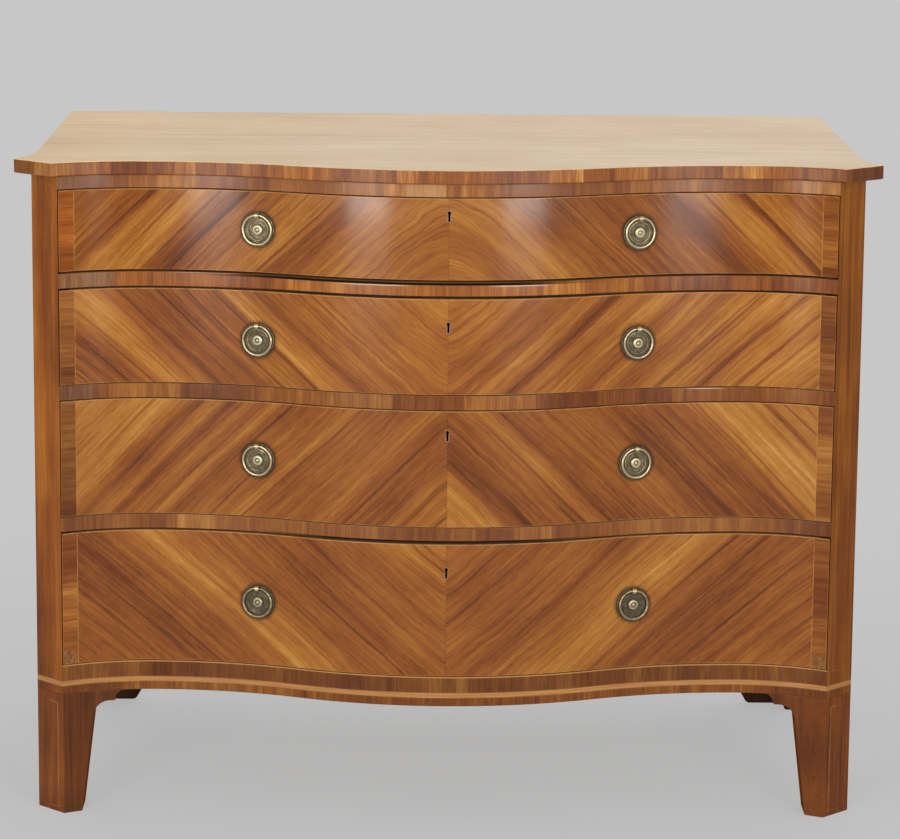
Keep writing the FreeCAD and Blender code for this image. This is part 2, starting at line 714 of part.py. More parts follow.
def build_lock(n):
    """Lock of one drawer. Returns what the lock takes out of the drawer front."""
    top = f"front_top_{n}"
    blank = box(
        f"lock_{n}_blank", "-lock_width / 2", "lock_y", f"{top} - lock_height",
        "lock_width", "lock_depth", "lock_height",
    )
    slot = box(
        f"lock_{n}_slot", "-bolt_width / 2 - bolt_play", "bolt_y - bolt_play",
        f"{top} - bolt_sink - bolt_length - bolt_play", "bolt_width + 2 * bolt_play",
        "bolt_thickness + 2 * bolt_play", "bolt_length + bolt_sink + bolt_play + cut_margin",
    )
    keyway = keyhole(f"lock_{n}_keyway", n, "0", "lock_y - cut_margin", "keyway_depth + cut_margin")
    screws = []
    for side, sign in SIDES:
        x = f"{sign} * (lock_width / 2 - screw_inset)"
        z = f"{top} - lock_height + screw_inset"
        shank = rod_y(
            f"screw_{n}_{side}_shank", x, "lock_y + lock_depth - screw_length", z,
            "screw_radius", "screw_length",
        )
        head = rod_y(
            f"screw_{n}_{side}_head", x, "lock_y + lock_depth - screw_head_depth", z,
            "screw_head_radius", "screw_head_depth",
        )
        screws.append(fused(f"screw_{n}_{side}", [shank, head]))
    case = cut(f"lock_{n}_case", blank, [slot, keyway, *screws])
    liner_outer = keyhole(f"liner_{n}_outer", n, "liner_wall", "bow_y", "liner_depth")
    liner_inner = keyhole(
        f"liner_{n}_inner", n, "0", "bow_y - cut_margin", "liner_depth + 2 * cut_margin",
    )
    liner = cut(f"liner_{n}", liner_outer, [liner_inner])
    node(group(f"drawer_{n}_lock", [case, liner, *screws]))
    node(box(
        f"drawer_{n}_lock_bolt", "-bolt_width / 2", "bolt_y",
        f"{top} - bolt_sink - bolt_length", "bolt_width", "bolt_thickness", "bolt_length",
    ))
    key_path = keyhole(
        f"key_path_{n}", n, "0", "bow_y - cut_margin", "lock_y - bow_y + 2 * cut_margin",
    )
    liner_seat = keyhole(
        f"liner_{n}_seat", n, "liner_wall", "bow_y - cut_margin", "liner_depth + cut_margin",
    )
    return [blank, key_path, liner_seat, *screws]


def pull_body(label, n, sign):
    """Body in a pull's own frame: origin on the seat of the plate, outwards along -Y."""
    body = new_body(label)
    place(body, f"{sign} * seat_x", "seat_y", f"pull_z_{n}", f"{sign} * pull_angle")
    return body


def stem_along_y(body, name, radius, front, length):
    """Rod under the ring's pin, from a distance ahead of the seat towards the inside."""
    sketch = add_sketch(body, name, "XZ_Plane", front)
    add_circle(sketch, "0", "pin_z", radius)
    add_pad(body, sketch, length, backwards=True)


def rectangle(half_width, low, high):
    """Corners of a rectangle that is centred across a sketch."""
    return [
        ("-" + half_width, low, None),
        (half_width, low, None),
        (half_width, high, None),
        ("-" + half_width, high, None),
    ]


def build_plate(label, n, sign, hole):
    """Stamped round plate with a beaded rim, an inner bead and a domed boss."""
    body = pull_body(label + "_blank", n, sign)
    sketch = add_sketch(body, label + "_section", "XY_Plane")
    add_outline(sketch, [
        ("0", "0", None),
        ("plate_radius", "0", None),
        ("plate_radius", "-plate_thickness", ("x", "rim_crest")),
        ("rim_crest", "-rim_height", ("x", "rim_crest")),
        ("rim_inner", "-plate_thickness", None),
        ("field_bead_outer", "-plate_thickness", ("x", "field_bead_radius")),
        ("field_bead_radius", "-field_bead_height", ("x", "field_bead_radius")),
        ("field_bead_inner", "-plate_thickness", None),
        ("boss_radius", "-plate_thickness", None),
        ("boss_radius", "-boss_edge", ("x", "0")),
        ("0", "-boss_height", None),
    ])
    turned = body.newObject("PartDesign::Revolution", label + "_turned")
    turned.Profile = sketch
    turned.ReferenceAxis = (sketch, ["V_Axis"])
    notch = pull_body(label + "_notch", n, sign)
    floor = add_sketch(notch, label + "_notch_floor", "XZ_Plane", "ring_plane - eye_radius - eye_play")
    add_outline(floor, rectangle("notch_half", "notch_low_z", "notch_high_z"))
    add_pad(notch, floor, "ring_plane")
    return cut(label, body, [hole, notch])


def build_ring(label, n, sign):
    """Ring handle: round wire with a gap at the top, closed by the straight pin."""
    body = pull_body(label, n, sign)
    wire = add_sketch(body, label + "_wire", "YZ_Plane")
    add_circle(wire, "-ring_plane", "-ring_radius", "ring_wire")
    bent = body.newObject("PartDesign::Revolution", label + "_bent")
    bent.Profile = wire
    bent.ReferenceAxis = (wire, ["H_Axis"])
    bent.Midplane = True
    bind(bent, Angle="360 deg - 2 * asin(eye_room / ring_radius)")
    pin = add_sketch(body, label + "_pin", "YZ_Plane")
    add_circle(pin, "-ring_plane", "pin_z", "pin_radius")
    add_pad(body, pin, "2 * eye_room", both_ways=True)
    node(body)


def build_eye_bolt(label, n, sign):
    """Bolt whose eye carries the ring, through the plate and the drawer front."""
    body = pull_body(label, n, sign)
    eye = add_sketch(body, label + "_eye", "YZ_Plane")
    add_circle(eye, "-ring_plane", "pin_z", "eye_radius")
    add_circle(eye, "-ring_plane", "pin_z", "bore_radius")
    add_pad(body, eye, "eye_width", both_ways=True)
    stem_along_y(
        body, label + "_stem", "stem_radius", "stem_front",
        "stem_front + nut_y + nut_thickness + stem_tail",
    )
    return body


def build_nut(label, n, sign):
    """Square nut on the inside of the drawer front."""
    body = pull_body(label, n, sign)
    sketch = add_sketch(body, label + "_face", "XZ_Plane", "-nut_y")
    add_outline(sketch, rectangle("nut_half", "nut_low_z", "nut_high_z"))
    add_circle(sketch, "0", "pin_z", "nut_bore")
    add_pad(body, sketch, "nut_thickness", backwards=True)
    return body


def build_pulls(n):
    """Both ring pulls of one drawer. Returns the holes that they need in its front."""
    holes, plates, bolts = [], [], []
    for side, sign in SIDES:
        hole = pull_body(f"pull_{n}_{side}_hole", n, sign)
        stem_along_y(
            hole, f"pull_{n}_{side}_bore", "hole_radius", "ring_plane",
            "ring_plane + nut_y + cut_margin",
        )
        holes.append(hole)
        plates.append(build_plate(f"plate_{n}_{side}", n, sign, hole))
        bolts.append(build_eye_bolt(f"eye_bolt_{n}_{side}", n, sign))
        bolts.append(build_nut(f"nut_{n}_{side}", n, sign))
        build_ring(f"drawer_{n}_ring_{side}", n, sign)
    node(group(f"drawer_{n}_handle_plates", plates))
    node(group(f"drawer_{n}_handle_bolts", bolts))
    return holes


def build_drawer(n):
    """One drawer: serpentine front, lapped sides, back, grooved bottom, lock and pulls."""
    floor = f"opening_floor_{n}"
    ceiling = f"opening_top_{n}"
    bottom = prism(f"drawer_{n}_bottom", [
        *front_curve(
            "tongue_end_x", "tongue_end_y", "tongue_hollow_y", "tongue_bend_y", "tongue_bow_y",
        ),
        ("tongue_end_x", "box_back_y", None),
        ("-tongue_end_x", "box_back_y", None),
    ], f"{floor} + bottom_rise", "lining_bottom")
    node(bottom)

    outer = front_curve("front_end_x", "face_y", "hollow_y", "bend_y", "bow_y")
    inner = front_curve(
        "inner_end_x", "inner_end_y", "inner_hollow_y", "inner_bend_y", "inner_bow_y",
    )
    front_blank = prism(f"drawer_{n}_front_blank", [
        *outer,
        ("front_end_x", "lap_y", None),
        ("inner_end_x", "lap_y", None),
        *reversed_curve(inner),
        ("-inner_end_x", "lap_y", None),
        ("-front_end_x", "lap_y", None),
    ], f"front_base_{n}", f"front_top_{n} - front_base_{n}")
    lock_waste = build_lock(n)
    holes = build_pulls(n)
    node(cut(f"drawer_{n}_front", front_blank, [bottom, *lock_waste, *holes]))

    side_boards = group(f"drawer_{n}_side_blanks", [
        box(
            f"drawer_{n}_{side}_side",
            f"{sign} * (front_end_x - lining_side / 2) - lining_side / 2",
            "lap_y", f"{floor} + runner_gap", "lining_side", "box_back_y - lap_y",
            f"{ceiling} - {floor} - runner_gap - side_drop",
        )
        for side, sign in SIDES
    ])
    node(cut(f"drawer_{n}_sides", side_boards, [bottom]))
    back_base = f"{floor} + bottom_rise + lining_bottom"
    node(box(
        f"drawer_{n}_back", "-inner_end_x", "box_back_y - lining_back", back_base,
        "2 * inner_end_x", "lining_back", f"{ceiling} - drawer_back_drop - ({back_base})",
    ))


def check_and_write():
    """Stop on any failed object or bad shape, then write one file for each piece."""
    doc.recompute()
    failed = [
        item.Label for item in doc.Objects
        if "Invalid" in item.State or "Error" in item.State
    ]
    if failed:
        raise RuntimeError("failed objects: " + ", ".join(failed))
    for item in nodes:
        if item.Shape.isNull() or not item.Shape.isValid() or not item.Shape.Solids:
            raise RuntimeError("bad shape: " + item.Label)
    os.makedirs("parts", exist_ok=True)
    for item in nodes:
        item.Shape.exportStep(f"parts/{item.Label}.step")
        print(f"{item.Label}: {len(item.Shape.Solids)} solid(s), {item.Shape.Volume:.0f} mm3")
    print(len(nodes), "nodes")


build_top()
build_rails()
build_carcass()
build_feet()
for n in DRAWERS:
    build_drawer(n)
check_and_write()
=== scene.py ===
import json
import logging
import math
from dataclasses import dataclass
from enum import Enum
from typing import Any, Callable, Dict, Optional, Sequence, Tuple, Union

import bmesh
import bpy
from mathutils import Matrix, Vector

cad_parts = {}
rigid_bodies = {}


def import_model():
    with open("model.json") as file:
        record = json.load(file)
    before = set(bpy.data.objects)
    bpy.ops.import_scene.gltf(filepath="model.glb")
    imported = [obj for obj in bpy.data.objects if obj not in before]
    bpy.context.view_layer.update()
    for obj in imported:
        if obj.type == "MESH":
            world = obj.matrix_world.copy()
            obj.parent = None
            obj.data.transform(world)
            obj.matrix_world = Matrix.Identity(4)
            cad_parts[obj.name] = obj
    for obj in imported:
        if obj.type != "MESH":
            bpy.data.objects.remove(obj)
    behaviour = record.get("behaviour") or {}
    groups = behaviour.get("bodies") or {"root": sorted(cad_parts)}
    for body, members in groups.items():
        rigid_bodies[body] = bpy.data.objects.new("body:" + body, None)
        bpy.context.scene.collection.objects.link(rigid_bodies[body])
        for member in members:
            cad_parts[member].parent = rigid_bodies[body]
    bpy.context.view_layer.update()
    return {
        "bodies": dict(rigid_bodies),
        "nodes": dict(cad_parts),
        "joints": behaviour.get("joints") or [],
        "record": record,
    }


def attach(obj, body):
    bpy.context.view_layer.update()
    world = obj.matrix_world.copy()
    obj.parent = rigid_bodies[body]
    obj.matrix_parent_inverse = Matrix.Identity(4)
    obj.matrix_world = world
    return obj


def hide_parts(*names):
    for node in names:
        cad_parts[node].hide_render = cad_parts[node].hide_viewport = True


log = logging.getLogger("serpentine_chest")

Colour = Tuple[float, float, float, float]
Stops = Tuple[Tuple[float, Colour], ...]
Pairs = Tuple[Tuple[float, float], ...]
Patches = Tuple[Tuple[float, float, float, float], ...]
Point = Tuple[float, float, float]
Number = Union[float, "Value"]
FaceChoice = Callable[[bmesh.types.BMFace], "Wood"]
EdgeChoice = Callable[[bmesh.types.BMEdge], bool]

# A face looks the way in which its normal leans by more than this.
FACING = 0.3


def tone(red: float, green: float, blue: float) -> Colour:
    """Give the linear colour of a screen colour.

    Args:
        red: red level from 0 to 255.
        green: green level from 0 to 255.
        blue: blue level from 0 to 255.

    Returns:
        Linear red, green and blue with an alpha of 1.
    """
    def linear(level: float) -> float:
        """Undo the screen curve for one level."""
        part = level / 255.0
        return part / 12.92 if part <= 0.04045 else ((part + 0.055) / 1.055) ** 2.4

    return linear(red), linear(green), linear(blue), 1.0


class Lean(Enum):
    """Way in which the two halves of a book-matched front meet at the seam."""

    PEAK = 1.0
    VALLEY = -1.0


class GrainAxis(Enum):
    """Axis of the chest along which the grain of a solid board runs."""

    ACROSS = 0
    DEPTH = 1
    UPRIGHT = 2


class Wood(Enum):
    """Finish of a face, by its place in the list of a piece's finishes."""

    SHOWN = 0
    HIDDEN = 1
    SAWN = 2


@dataclass(frozen=True)
class Chest:
    """Places on the chest, in metres, read from the solids, and sizes of what is laid on them."""

    face_end: float  # where the front ends and the canted corner begins
    front_end: float  # end of a drawer front
    corner_y: float  # where the canted corner turns into the side
    lap_y: float  # front end of the drawer sides, in the lap of the drawer front
    bow_y: float  # drawer fronts and rails at the middle
    back_y: float  # back of the back boards
    top_z: float
    top_underside: float
    base_top: float
    base_low: float
    band_width: float = 0.0181  # crossband at each end of a drawer front
    string_rise: float = 0.0106  # from the underside of the base rail to the broad string
    string_width: float = 0.0064
    boards: int = 5  # back boards, side by side

    @property
    def band_start(self) -> float:
        """Give the inner edge of the crossband at the end of a drawer front."""
        return self.front_end - self.band_width

    @property
    def string(self) -> Tuple[float, float]:
        """Give the lower and the upper edge of the broad string round the case."""
        low = self.base_low + self.string_rise
        return low, low + self.string_width

    @property
    def board_width(self) -> float:
        """Give the width of one back board."""
        return 2 * self.face_end / self.boards


@dataclass(frozen=True)
class PullPlace:
    """Middle of a drawer's right pull plate, where it meets the front, and its turn to the side."""

    x: float
    y: float
    z: float
    turn: float


class Value:
    """A shader socket that takes part in Python arithmetic."""

    def __init__(self, graph: "Graph", socket: bpy.types.NodeSocket) -> None:
        """Keep a socket and the graph that it belongs to."""
        self.graph = graph
        self.socket = socket

    def of(self, key: Union[int, str]) -> "Value":
        """Give another output of the same node."""
        return Value(self.graph, self.socket.node.outputs[key])

    def math(self, operation: str, *others: Number) -> "Value":
        """Put a Math node on this value.

        Args:
            operation: operation of the Math node.
            others: further inputs of the node.

        Returns:
            The result of the node.
        """
        inputs = dict(enumerate((self, *others)))
        return self.graph.node("ShaderNodeMath", {"operation": operation}, inputs)

    def behind(self, operation: str, first: Number) -> "Value":
        """Put a Math node on a first number and this value."""
        inputs = {0: first, 1: self}
        return self.graph.node("ShaderNodeMath", {"operation": operation}, inputs)

    def __add__(self, other: Number) -> "Value":
        """Add."""
        return self.math("ADD", other)

    def __radd__(self, other: Number) -> "Value":
        """Add to a number."""
        return self.behind("ADD", other)

    def __sub__(self, other: Number) -> "Value":
        """Take away."""
        return self.math("SUBTRACT", other)

    def __rsub__(self, other: Number) -> "Value":
        """Take from a number."""
        return self.behind("SUBTRACT", other)

    def __mul__(self, other: Number) -> "Value":
        """Multiply."""
        return self.math("MULTIPLY", other)

    def __rmul__(self, other: Number) -> "Value":
        """Multiply a number."""
        return self.behind("MULTIPLY", other)

    def __truediv__(self, other: Number) -> "Value":
        """Divide."""
        return self.math("DIVIDE", other)

    def __rtruediv__(self, other: Number) -> "Value":
        """Divide a number."""
        return self.behind("DIVIDE", other)

    def __abs__(self) -> "Value":
        """Drop the sign."""
        return self.math("ABSOLUTE")

    def most(self, *others: Number) -> "Value":
        """Compare this value with others.

        Args:
            others: values or numbers to compare it with.

        Returns:
            The largest of them all.
        """
        largest = self
        for other in others:
            largest = largest.math("MAXIMUM", other)
        return largest

    def rise(self, low: float, high: float) -> "Value":
        """Go smoothly from 0 at low to 1 at high."""
        settings = {"interpolation_type": "SMOOTHSTEP"}
        return self.graph.node("ShaderNodeMapRange", settings, {0: self, 1: low, 2: high})

    def between(self, low: float, high: float, soft: float) -> "Value":
        """Give a stripe.

        Args:
            low: lower edge of the stripe.
            high: upper edge of the stripe.
            soft: half the width of each blurred edge.

        Returns:
            1 inside the stripe and 0 outside it.
        """
        return self.rise(low - soft, low + soft) * (1 - self.rise(high - soft, high + soft))


class Graph:
    """Node tree of one material, or of the room round the chest."""

    def __init__(self, owner: Union[bpy.types.Material, bpy.types.World]) -> None:
        """Start with an empty tree.

        Args:
            owner: material or world that the tree belongs to.
        """
        self.owner = owner
        self.owner.use_nodes = True
        self.tree = self.owner.node_tree
        self.tree.nodes.clear()

    def node(
        self,
        kind: str,
        settings: Optional[Dict[str, Any]] = None,
        inputs: Optional[Dict[Union[int, str], Any]] = None,
        output: Union[int, str] = 0,
    ) -> Value:
        """Make any node.

        Args:
            kind: type of the node.
            settings: properties of the node, with stops for a colour ramp.
            inputs: numbers, colours or links for its sockets.
            output: the output socket that is wanted.

        Returns:
            That output, or the first input of a node that has no output.
        """
        made = self.tree.nodes.new(kind)
        for key, setting in (settings or {}).items():
            if key == "stops":
                self.set_stops(made.color_ramp, setting)
            else:
                setattr(made, key, setting)
        for key, given in (inputs or {}).items():
            if isinstance(given, Value):
                self.tree.links.new(given.socket, made.inputs[key])
            else:
                made.inputs[key].default_value = given
        return Value(self, made.outputs[output] if len(made.outputs) else made.inputs[0])

    @staticmethod
    def set_stops(ramp: bpy.types.ColorRamp, stops: Stops) -> None:
        """Write the stops of a colour ramp.

        Args:
            ramp: the ramp, with its two first stops.
            stops: place and colour of each stop, in order.
        """
        while len(ramp.elements) < len(stops):
            ramp.elements.new(1.0)
        for element, (place, colour) in zip(ramp.elements, stops):
            element.position = place
            element.color = colour

    def place(self) -> Tuple[Value, Value, Value]:
        """Read the place of the surface point.

        Returns:
            Its three coordinates.
        """
        spot = self.node("ShaderNodeTexCoord", output="Object")
        parts = self.node("ShaderNodeSeparateXYZ", None, {0: spot})
        return parts.of("X"), parts.of("Y"), parts.of("Z")

    def noise(
        self, first: Number, second: Number, third: Number, detail: float = 2.0, rough: float = 0.5,
    ) -> Value:
        """Give smooth noise.

        Args:
            first: first coordinate, in noise cells.
            second: second coordinate, in noise cells.
            third: third coordinate, in noise cells.
            detail: number of finer layers.
            rough: weight of the finer layers.

        Returns:
            Noise round 0.5.
        """
        spot = self.node("ShaderNodeCombineXYZ", None, {0: first, 1: second, 2: third})
        inputs = {"Vector": spot, "Scale": 1.0, "Detail": detail, "Roughness": rough}
        return self.node("ShaderNodeTexNoise", {"noise_dimensions": "3D"}, inputs)

    def steps(self, along: Value, length: float, seed: float) -> Value:
        """Give one random level to each length of a band."""
        number = (along / length + seed).math("FLOOR") + seed * 7.3
        return self.node("ShaderNodeTexWhiteNoise", {"noise_dimensions": "1D"}, {"W": number})

    def ramp(self, level: Value, *stops: Tuple[float, Colour]) -> Value:
        """Turn a level into a colour."""
        return self.node("ShaderNodeValToRGB", {"stops": stops}, {0: level})

    def profile(self, along: Value, points: Pairs) -> Value:
        """Give a level that changes along a line.

        Args:
            along: place on the line.
            points: places in order, each with its level.

        Returns:
            The level, held beyond the first and last points.
        """
        first, last = points[0][0], points[-1][0]
        length = last - first
        stops = [((spot - first) / length, (level, level, level, 1.0)) for spot, level in points]
        return self.ramp((along - first) / length, *stops)

    def blend(self, share: Number, first: Any, second: Any) -> Value:
        """Mix two colours."""
        return self.node("ShaderNodeMix", {"data_type": "RGBA"}, {0: share, 6: first, 7: second}, 2)

    def lit(self, colour: Value, level: Number) -> Value:
        """Make a colour lighter or darker by a level."""
        return self.node("ShaderNodeVectorMath", {"operation": "SCALE"}, {0: colour, 3: level})

    def seen(self) -> Value:
        """Give 1 where the camera, a reflection or clear glass looks at the surface."""
        ray = self.node("ShaderNodeLightPath", output="Is Camera Ray")
        return ray.most(ray.of("Is Glossy Ray"), ray.of("Is Transmission Ray"))

    def surface(
        self, colour: Value, roughness: Value, height: Value, depth: float, **sockets: Any,
    ) -> bpy.types.Material:
        """Close the graph with a shader.

        Args:
            colour: colour over the surface.
            roughness: roughness over the surface.
            height: relief over the surface.
            depth: how deep the relief is, in metres.
            sockets: other sockets of the shader, with _ for a space.

        Returns:
            The finished material.
        """
        relief = self.node("ShaderNodeBump", None, {"Distance": depth, "Height": height})
        inputs = {"Base Color": colour, "Roughness": roughness, "Normal": relief}
        inputs.update({key.replace("_", " "): given for key, given in sockets.items()})
        shader = self.node("ShaderNodeBsdfPrincipled", None, inputs)
        self.node("ShaderNodeOutputMaterial", None, {0: shader})
        return self.owner


BOXWOOD = tone(200, 146, 82)
VENEER_STOPS = (
    (0.00, tone(86, 39, 13)),
    (0.22, tone(117, 60, 22)),
    (0.42, tone(144, 81, 30)),
    (0.60, tone(165, 101, 38)),
    (0.80, tone(187, 126, 53)),
    (1.00, tone(207, 153, 80)),
)
BAND_STOPS = (
    (0.00, tone(82, 37, 11)),
    (0.30, tone(116, 59, 19)),
    (0.58, tone(145, 84, 31)),
    (0.82, tone(175, 114, 49)),
    (1.00, tone(198, 142, 78)),
)


@dataclass(frozen=True)
class Finish:
    """A finish of the chest, with the name of its material and its own place in the noise."""

    chest: Chest
    name: str
    seed: float

    def start(self) -> Tuple[Graph, Value, Value, Value]:
        """Open the material and give its graph and the point's three coordinates."""
        graph = Graph(bpy.data.materials.new(self.name))
        return (graph, *graph.place())


@dataclass(frozen=True)
class Veneer(Finish):
    """Polished veneer finishes, with the grain that they share."""

    def bands(
        self, graph: Graph, across: Value, along: Value, length: float, fibre: float = 0.0013,
        uneven: float = 0.36,
    ) -> Tuple[Value, Value]:
        """Lay cross-grained pieces side by side.

        Args:
            graph: material to draw in.
            across: coordinate along the band, across its grain.
            along: coordinate along the grain.
            length: usual length of one piece.
            fibre: width of one fibre.
            uneven: how far the pieces differ in level.

        Returns:
            Colour and relief of the band.
        """
        pieces = graph.steps(across, length, self.seed + 0.37)
        short = graph.steps(across, length * 0.53, self.seed + 1.61)
        fibres = graph.noise(across / fibre, along / 0.03, self.seed + 3.0, 2.0)
        streaks = graph.noise(across / 0.009, along / 0.12, self.seed + 9.0, 2.5, 0.6)
        piece = (pieces * 0.62 + short * 0.38 - 0.5) * uneven
        level = 0.50 + piece + (fibres - 0.5) * 0.52 + (streaks - 0.5) * 0.72
        return graph.ramp(level, *BAND_STOPS), fibres

    def pores(self, graph: Graph, first: Value, second: Value, offset: float) -> Value:
        """Give 1 in the open pores of the grain and 0 between them."""
        return graph.noise(first, second, self.seed + offset, 0.0).rise(0.62, 0.74)

    def string_course(self, graph: Graph, colour: Value, along: Value, z: Value) -> Value:
        """Inlay the broad boxwood string that runs round the case above the feet.

        Args:
            graph: material to draw in.
            colour: colour of the veneer.
            along: coordinate along the string.
            z: height above the floor.

        Returns:
            Colour with the string.
        """
        grain = graph.noise(along / 0.05, z / 0.0011, self.seed + 61.0, 2.0)
        string = graph.ramp(
            grain, (0.2, tone(146, 94, 50)), (0.5, tone(169, 118, 67)), (0.8, tone(186, 138, 84)),
        )
        inlay = z.between(*self.chest.string, 0.0010)
        lower, upper = (z.between(edge - 0.0004, edge + 0.0004, 0.0004) for edge in self.chest.string)
        return graph.blend(lower.most(upper) * 0.22, graph.blend(inlay, colour, string), tone(96, 52, 26))

    @staticmethod
    def wax(graph: Graph, x: Value, y: Value, z: Value) -> Value:
        """Give the uneven roughness of an old wax polish."""
        smears = graph.noise(x / 0.05, y / 0.05, z / 0.03, 4.0, 0.6)
        return 0.26 + smears * 0.26

    @staticmethod
    def polished(
        graph: Graph, colour: Value, rough: Value, height: Value, depth: float = 0.00008, coat: Number = 0.30,
    ) -> bpy.types.Material:
        """Close a veneer's graph with the old polish of the case.

        Args:
            graph: material to close.
            colour: colour over the surface.
            rough: roughness over the surface.
            height: relief over the surface.
            depth: how deep the relief is, in metres.
            coat: how thick the polish lies.

        Returns:
            The finished material.
        """
        return graph.surface(
            colour, rough, height, depth, Coat_Weight=coat, Coat_Roughness=0.22, Specular_IOR_Level=0.10,
        )


@dataclass(frozen=True)
class Figure:
    """How the veneer of one drawer front is cut, matched and aged.

    The streaks of each half are places, as distances from the seam at half height, with their levels.
    """

    lean: Lean
    slant: float
    rounding: float
    swirl: float
    glow: float
    ends: Tuple[float, float]
    left: Pairs
    right: Pairs
    mended: float = 0.0
    crest: float = 0.0


@dataclass(frozen=True)
class ChevronVeneer(Veneer):
    """Book-matched diagonal veneer of one drawer front, with its crossbands and strings."""

    low: float
    high: float
    pull: PullPlace
    figure: Figure

    def material(self) -> bpy.types.Material:
        """Draw the front's veneer.

        Returns:
            The finished material.
        """
        graph, x, y, z = self.start()
        side, right = abs(x), x.rise(-0.0001, 0.0001)
        field, fibres, pores = self.field(graph, x, z, right)
        ends, end_fibres = self.bands(graph, z + right * 0.41, x, 0.062, uneven=0.66)
        left_end, right_end = self.figure.ends
        ends = graph.lit(ends, left_end + right * (right_end - left_end))
        band = self.chest.band_start
        colour = graph.blend(side.rise(band - 0.0003, band + 0.0003), field, ends)
        if self.figure.mended:
            colour = self.mend(graph, colour, x, z)
        worn = graph.noise(x / 0.012, z / 0.012, self.seed + 31.0, 2.0).rise(0.30, 0.58)
        edges = self.strings(side, z)
        colour = graph.blend(edges * (0.22 + worn * 0.42), colour, BOXWOOD)
        seam = 1 - side.rise(0.0001, 0.0006)
        # Dark wax and a painted shadow darken the veneer round the pull plates.
        rim = self.rim(graph, x, z)
        shade = self.figure.glow * (1 - seam * 0.28) * (1 - rim * 0.45)
        rough = self.wax(graph, x, y, z) + pores * 0.1 + rim * 0.12
        height = fibres * 0.3 + end_fibres * 0.2 - pores * 0.8 + edges * 0.3 - seam
        upper = z.rise(self.high - 0.050, self.high - 0.006) * (1 - side.rise(0.15, 0.22))
        coat = 0.40 + (upper - side.rise(0.30, 0.40)) * self.figure.crest
        return graph.surface(
            graph.lit(colour, shade), rough, height, 0.00008,
            Coat_Weight=coat, Coat_Roughness=0.16, Specular_IOR_Level=0.06,
        )

    def field(self, graph: Graph, x: Value, z: Value, right: Value) -> Tuple[Value, Value, Value]:
        """Lay the slanting figured veneer of the two halves.

        Args:
            graph: material to draw in.
            x: coordinate along the chest.
            z: height above the floor.
            right: 1 on the right half and 0 on the left half.

        Returns:
            Colour, fibres and pores of the veneer.
        """
        slope, run = self.direction()
        half = (x * x + self.figure.rounding ** 2).math("SQRT")
        near = 1 - half.rise(0.02, 0.19)
        curl = (graph.noise(x / 0.05, z / 0.035, self.seed, 2.0) - 0.5) * near * self.figure.swirl
        across = z * run + half * slope + curl
        along = z * abs(slope) - half * (self.figure.lean.value * run) + right * 0.7
        sway = graph.noise(across / 0.07, along / 0.17, self.seed + 5.0, 1.0) - 0.5
        line = across + sway * 0.009
        ribbon = graph.noise(line / 0.0100, along / 0.34, self.seed + 11.0, 2.0, 0.6)
        thread = graph.noise(line / 0.0036, along / 0.16, self.seed + 13.0, 2.0, 0.6)
        flecks = graph.noise(line / 0.0019, along / 0.021, self.seed + 37.0, 2.0, 0.6)
        fibres = graph.noise(line / 0.0011, along / 0.040, self.seed + 17.0, 2.0)
        veins = graph.noise(line / 0.0062, along / 0.50, self.seed + 19.0, 1.0).rise(0.61, 0.72)
        pores = self.pores(graph, line / 0.00055, along / 0.011, 23.0)
        clouds = graph.noise(x / 0.10, z / 0.07, self.seed + 29.0, 2.0)
        lines = (ribbon - 0.5) * 0.50 + (thread - 0.5) * 0.50 + (flecks - 0.5) * 0.28 - veins * 0.22
        level = (
            0.02 + self.streaks(graph, line, right) + (clouds - 0.5) * 0.36
            + lines * (1 - near * (self.figure.swirl * 24)) + (fibres - 0.5) * 0.32 - pores * 0.14
        )
        return graph.ramp(level, *VENEER_STOPS), fibres, pores

    def direction(self) -> Tuple[float, float]:
        """Give the share of x and of z in the direction across the grain."""
        slant = math.radians(self.figure.slant)
        return math.sin(slant) * self.figure.lean.value, math.cos(slant)

    def strings(self, side: Value, z: Value) -> Value:
        """Give the thin boxwood strings round the front and beside its crossbands.

        Args:
            side: distance from the seam.
            z: height above the floor.

        Returns:
            1 on the best kept strings and 0 beside them.
        """
        band, end = self.chest.band_start, self.chest.front_end
        inner = side.between(band - 0.0006, band + 0.0002, 0.0002)
        upper = z.rise(self.high - 0.0015, self.high - 0.0011)
        lower = (1 - z.rise(self.low + 0.0007, self.low + 0.0011)) * 0.7
        outer = side.rise(end - 0.0011, end - 0.0008) * 0.4
        return inner.most(upper, lower, outer)

    def mend(self, graph: Graph, colour: Value, x: Value, z: Value) -> Value:
        """Show the two lower corners of the front that were pieced in again.

        Args:
            graph: material to draw in.
            colour: colour of the front.
            x: coordinate along the chest.
            z: height above the floor.

        Returns:
            Colour with the new pieces.
        """
        curls = graph.noise(x / 0.004, z / 0.005, self.seed + 43.0, 3.0, 0.6)
        burr = graph.ramp(curls, (0.3, tone(92, 54, 28)), (0.7, tone(164, 114, 66)))
        ragged = (graph.noise(x / 0.007, z / 0.007, self.seed + 47.0, 2.0) - 0.5) * 0.016
        band, top = self.chest.band_start, self.low + self.figure.mended
        beside = abs(x).rise(band + 0.0005, band + 0.0031)
        below = 1 - (z + ragged).rise(top - 0.003, top + 0.003)
        return graph.blend(beside * below * 0.75, colour, burr)

    def streaks(self, graph: Graph, line: Value, right: Value) -> Value:
        """Lay the broad light and dark streaks of the two halves.

        Args:
            graph: material to draw in.
            line: coordinate across the grain.
            right: 1 on the right half and 0 on the left half.

        Returns:
            Level round 0.5.
        """
        slope, run = self.direction()
        spot = (line - (self.low + self.high) / 2 * run) / slope
        left = graph.profile(spot, self.figure.left)
        return left + (graph.profile(spot, self.figure.right) - left) * right

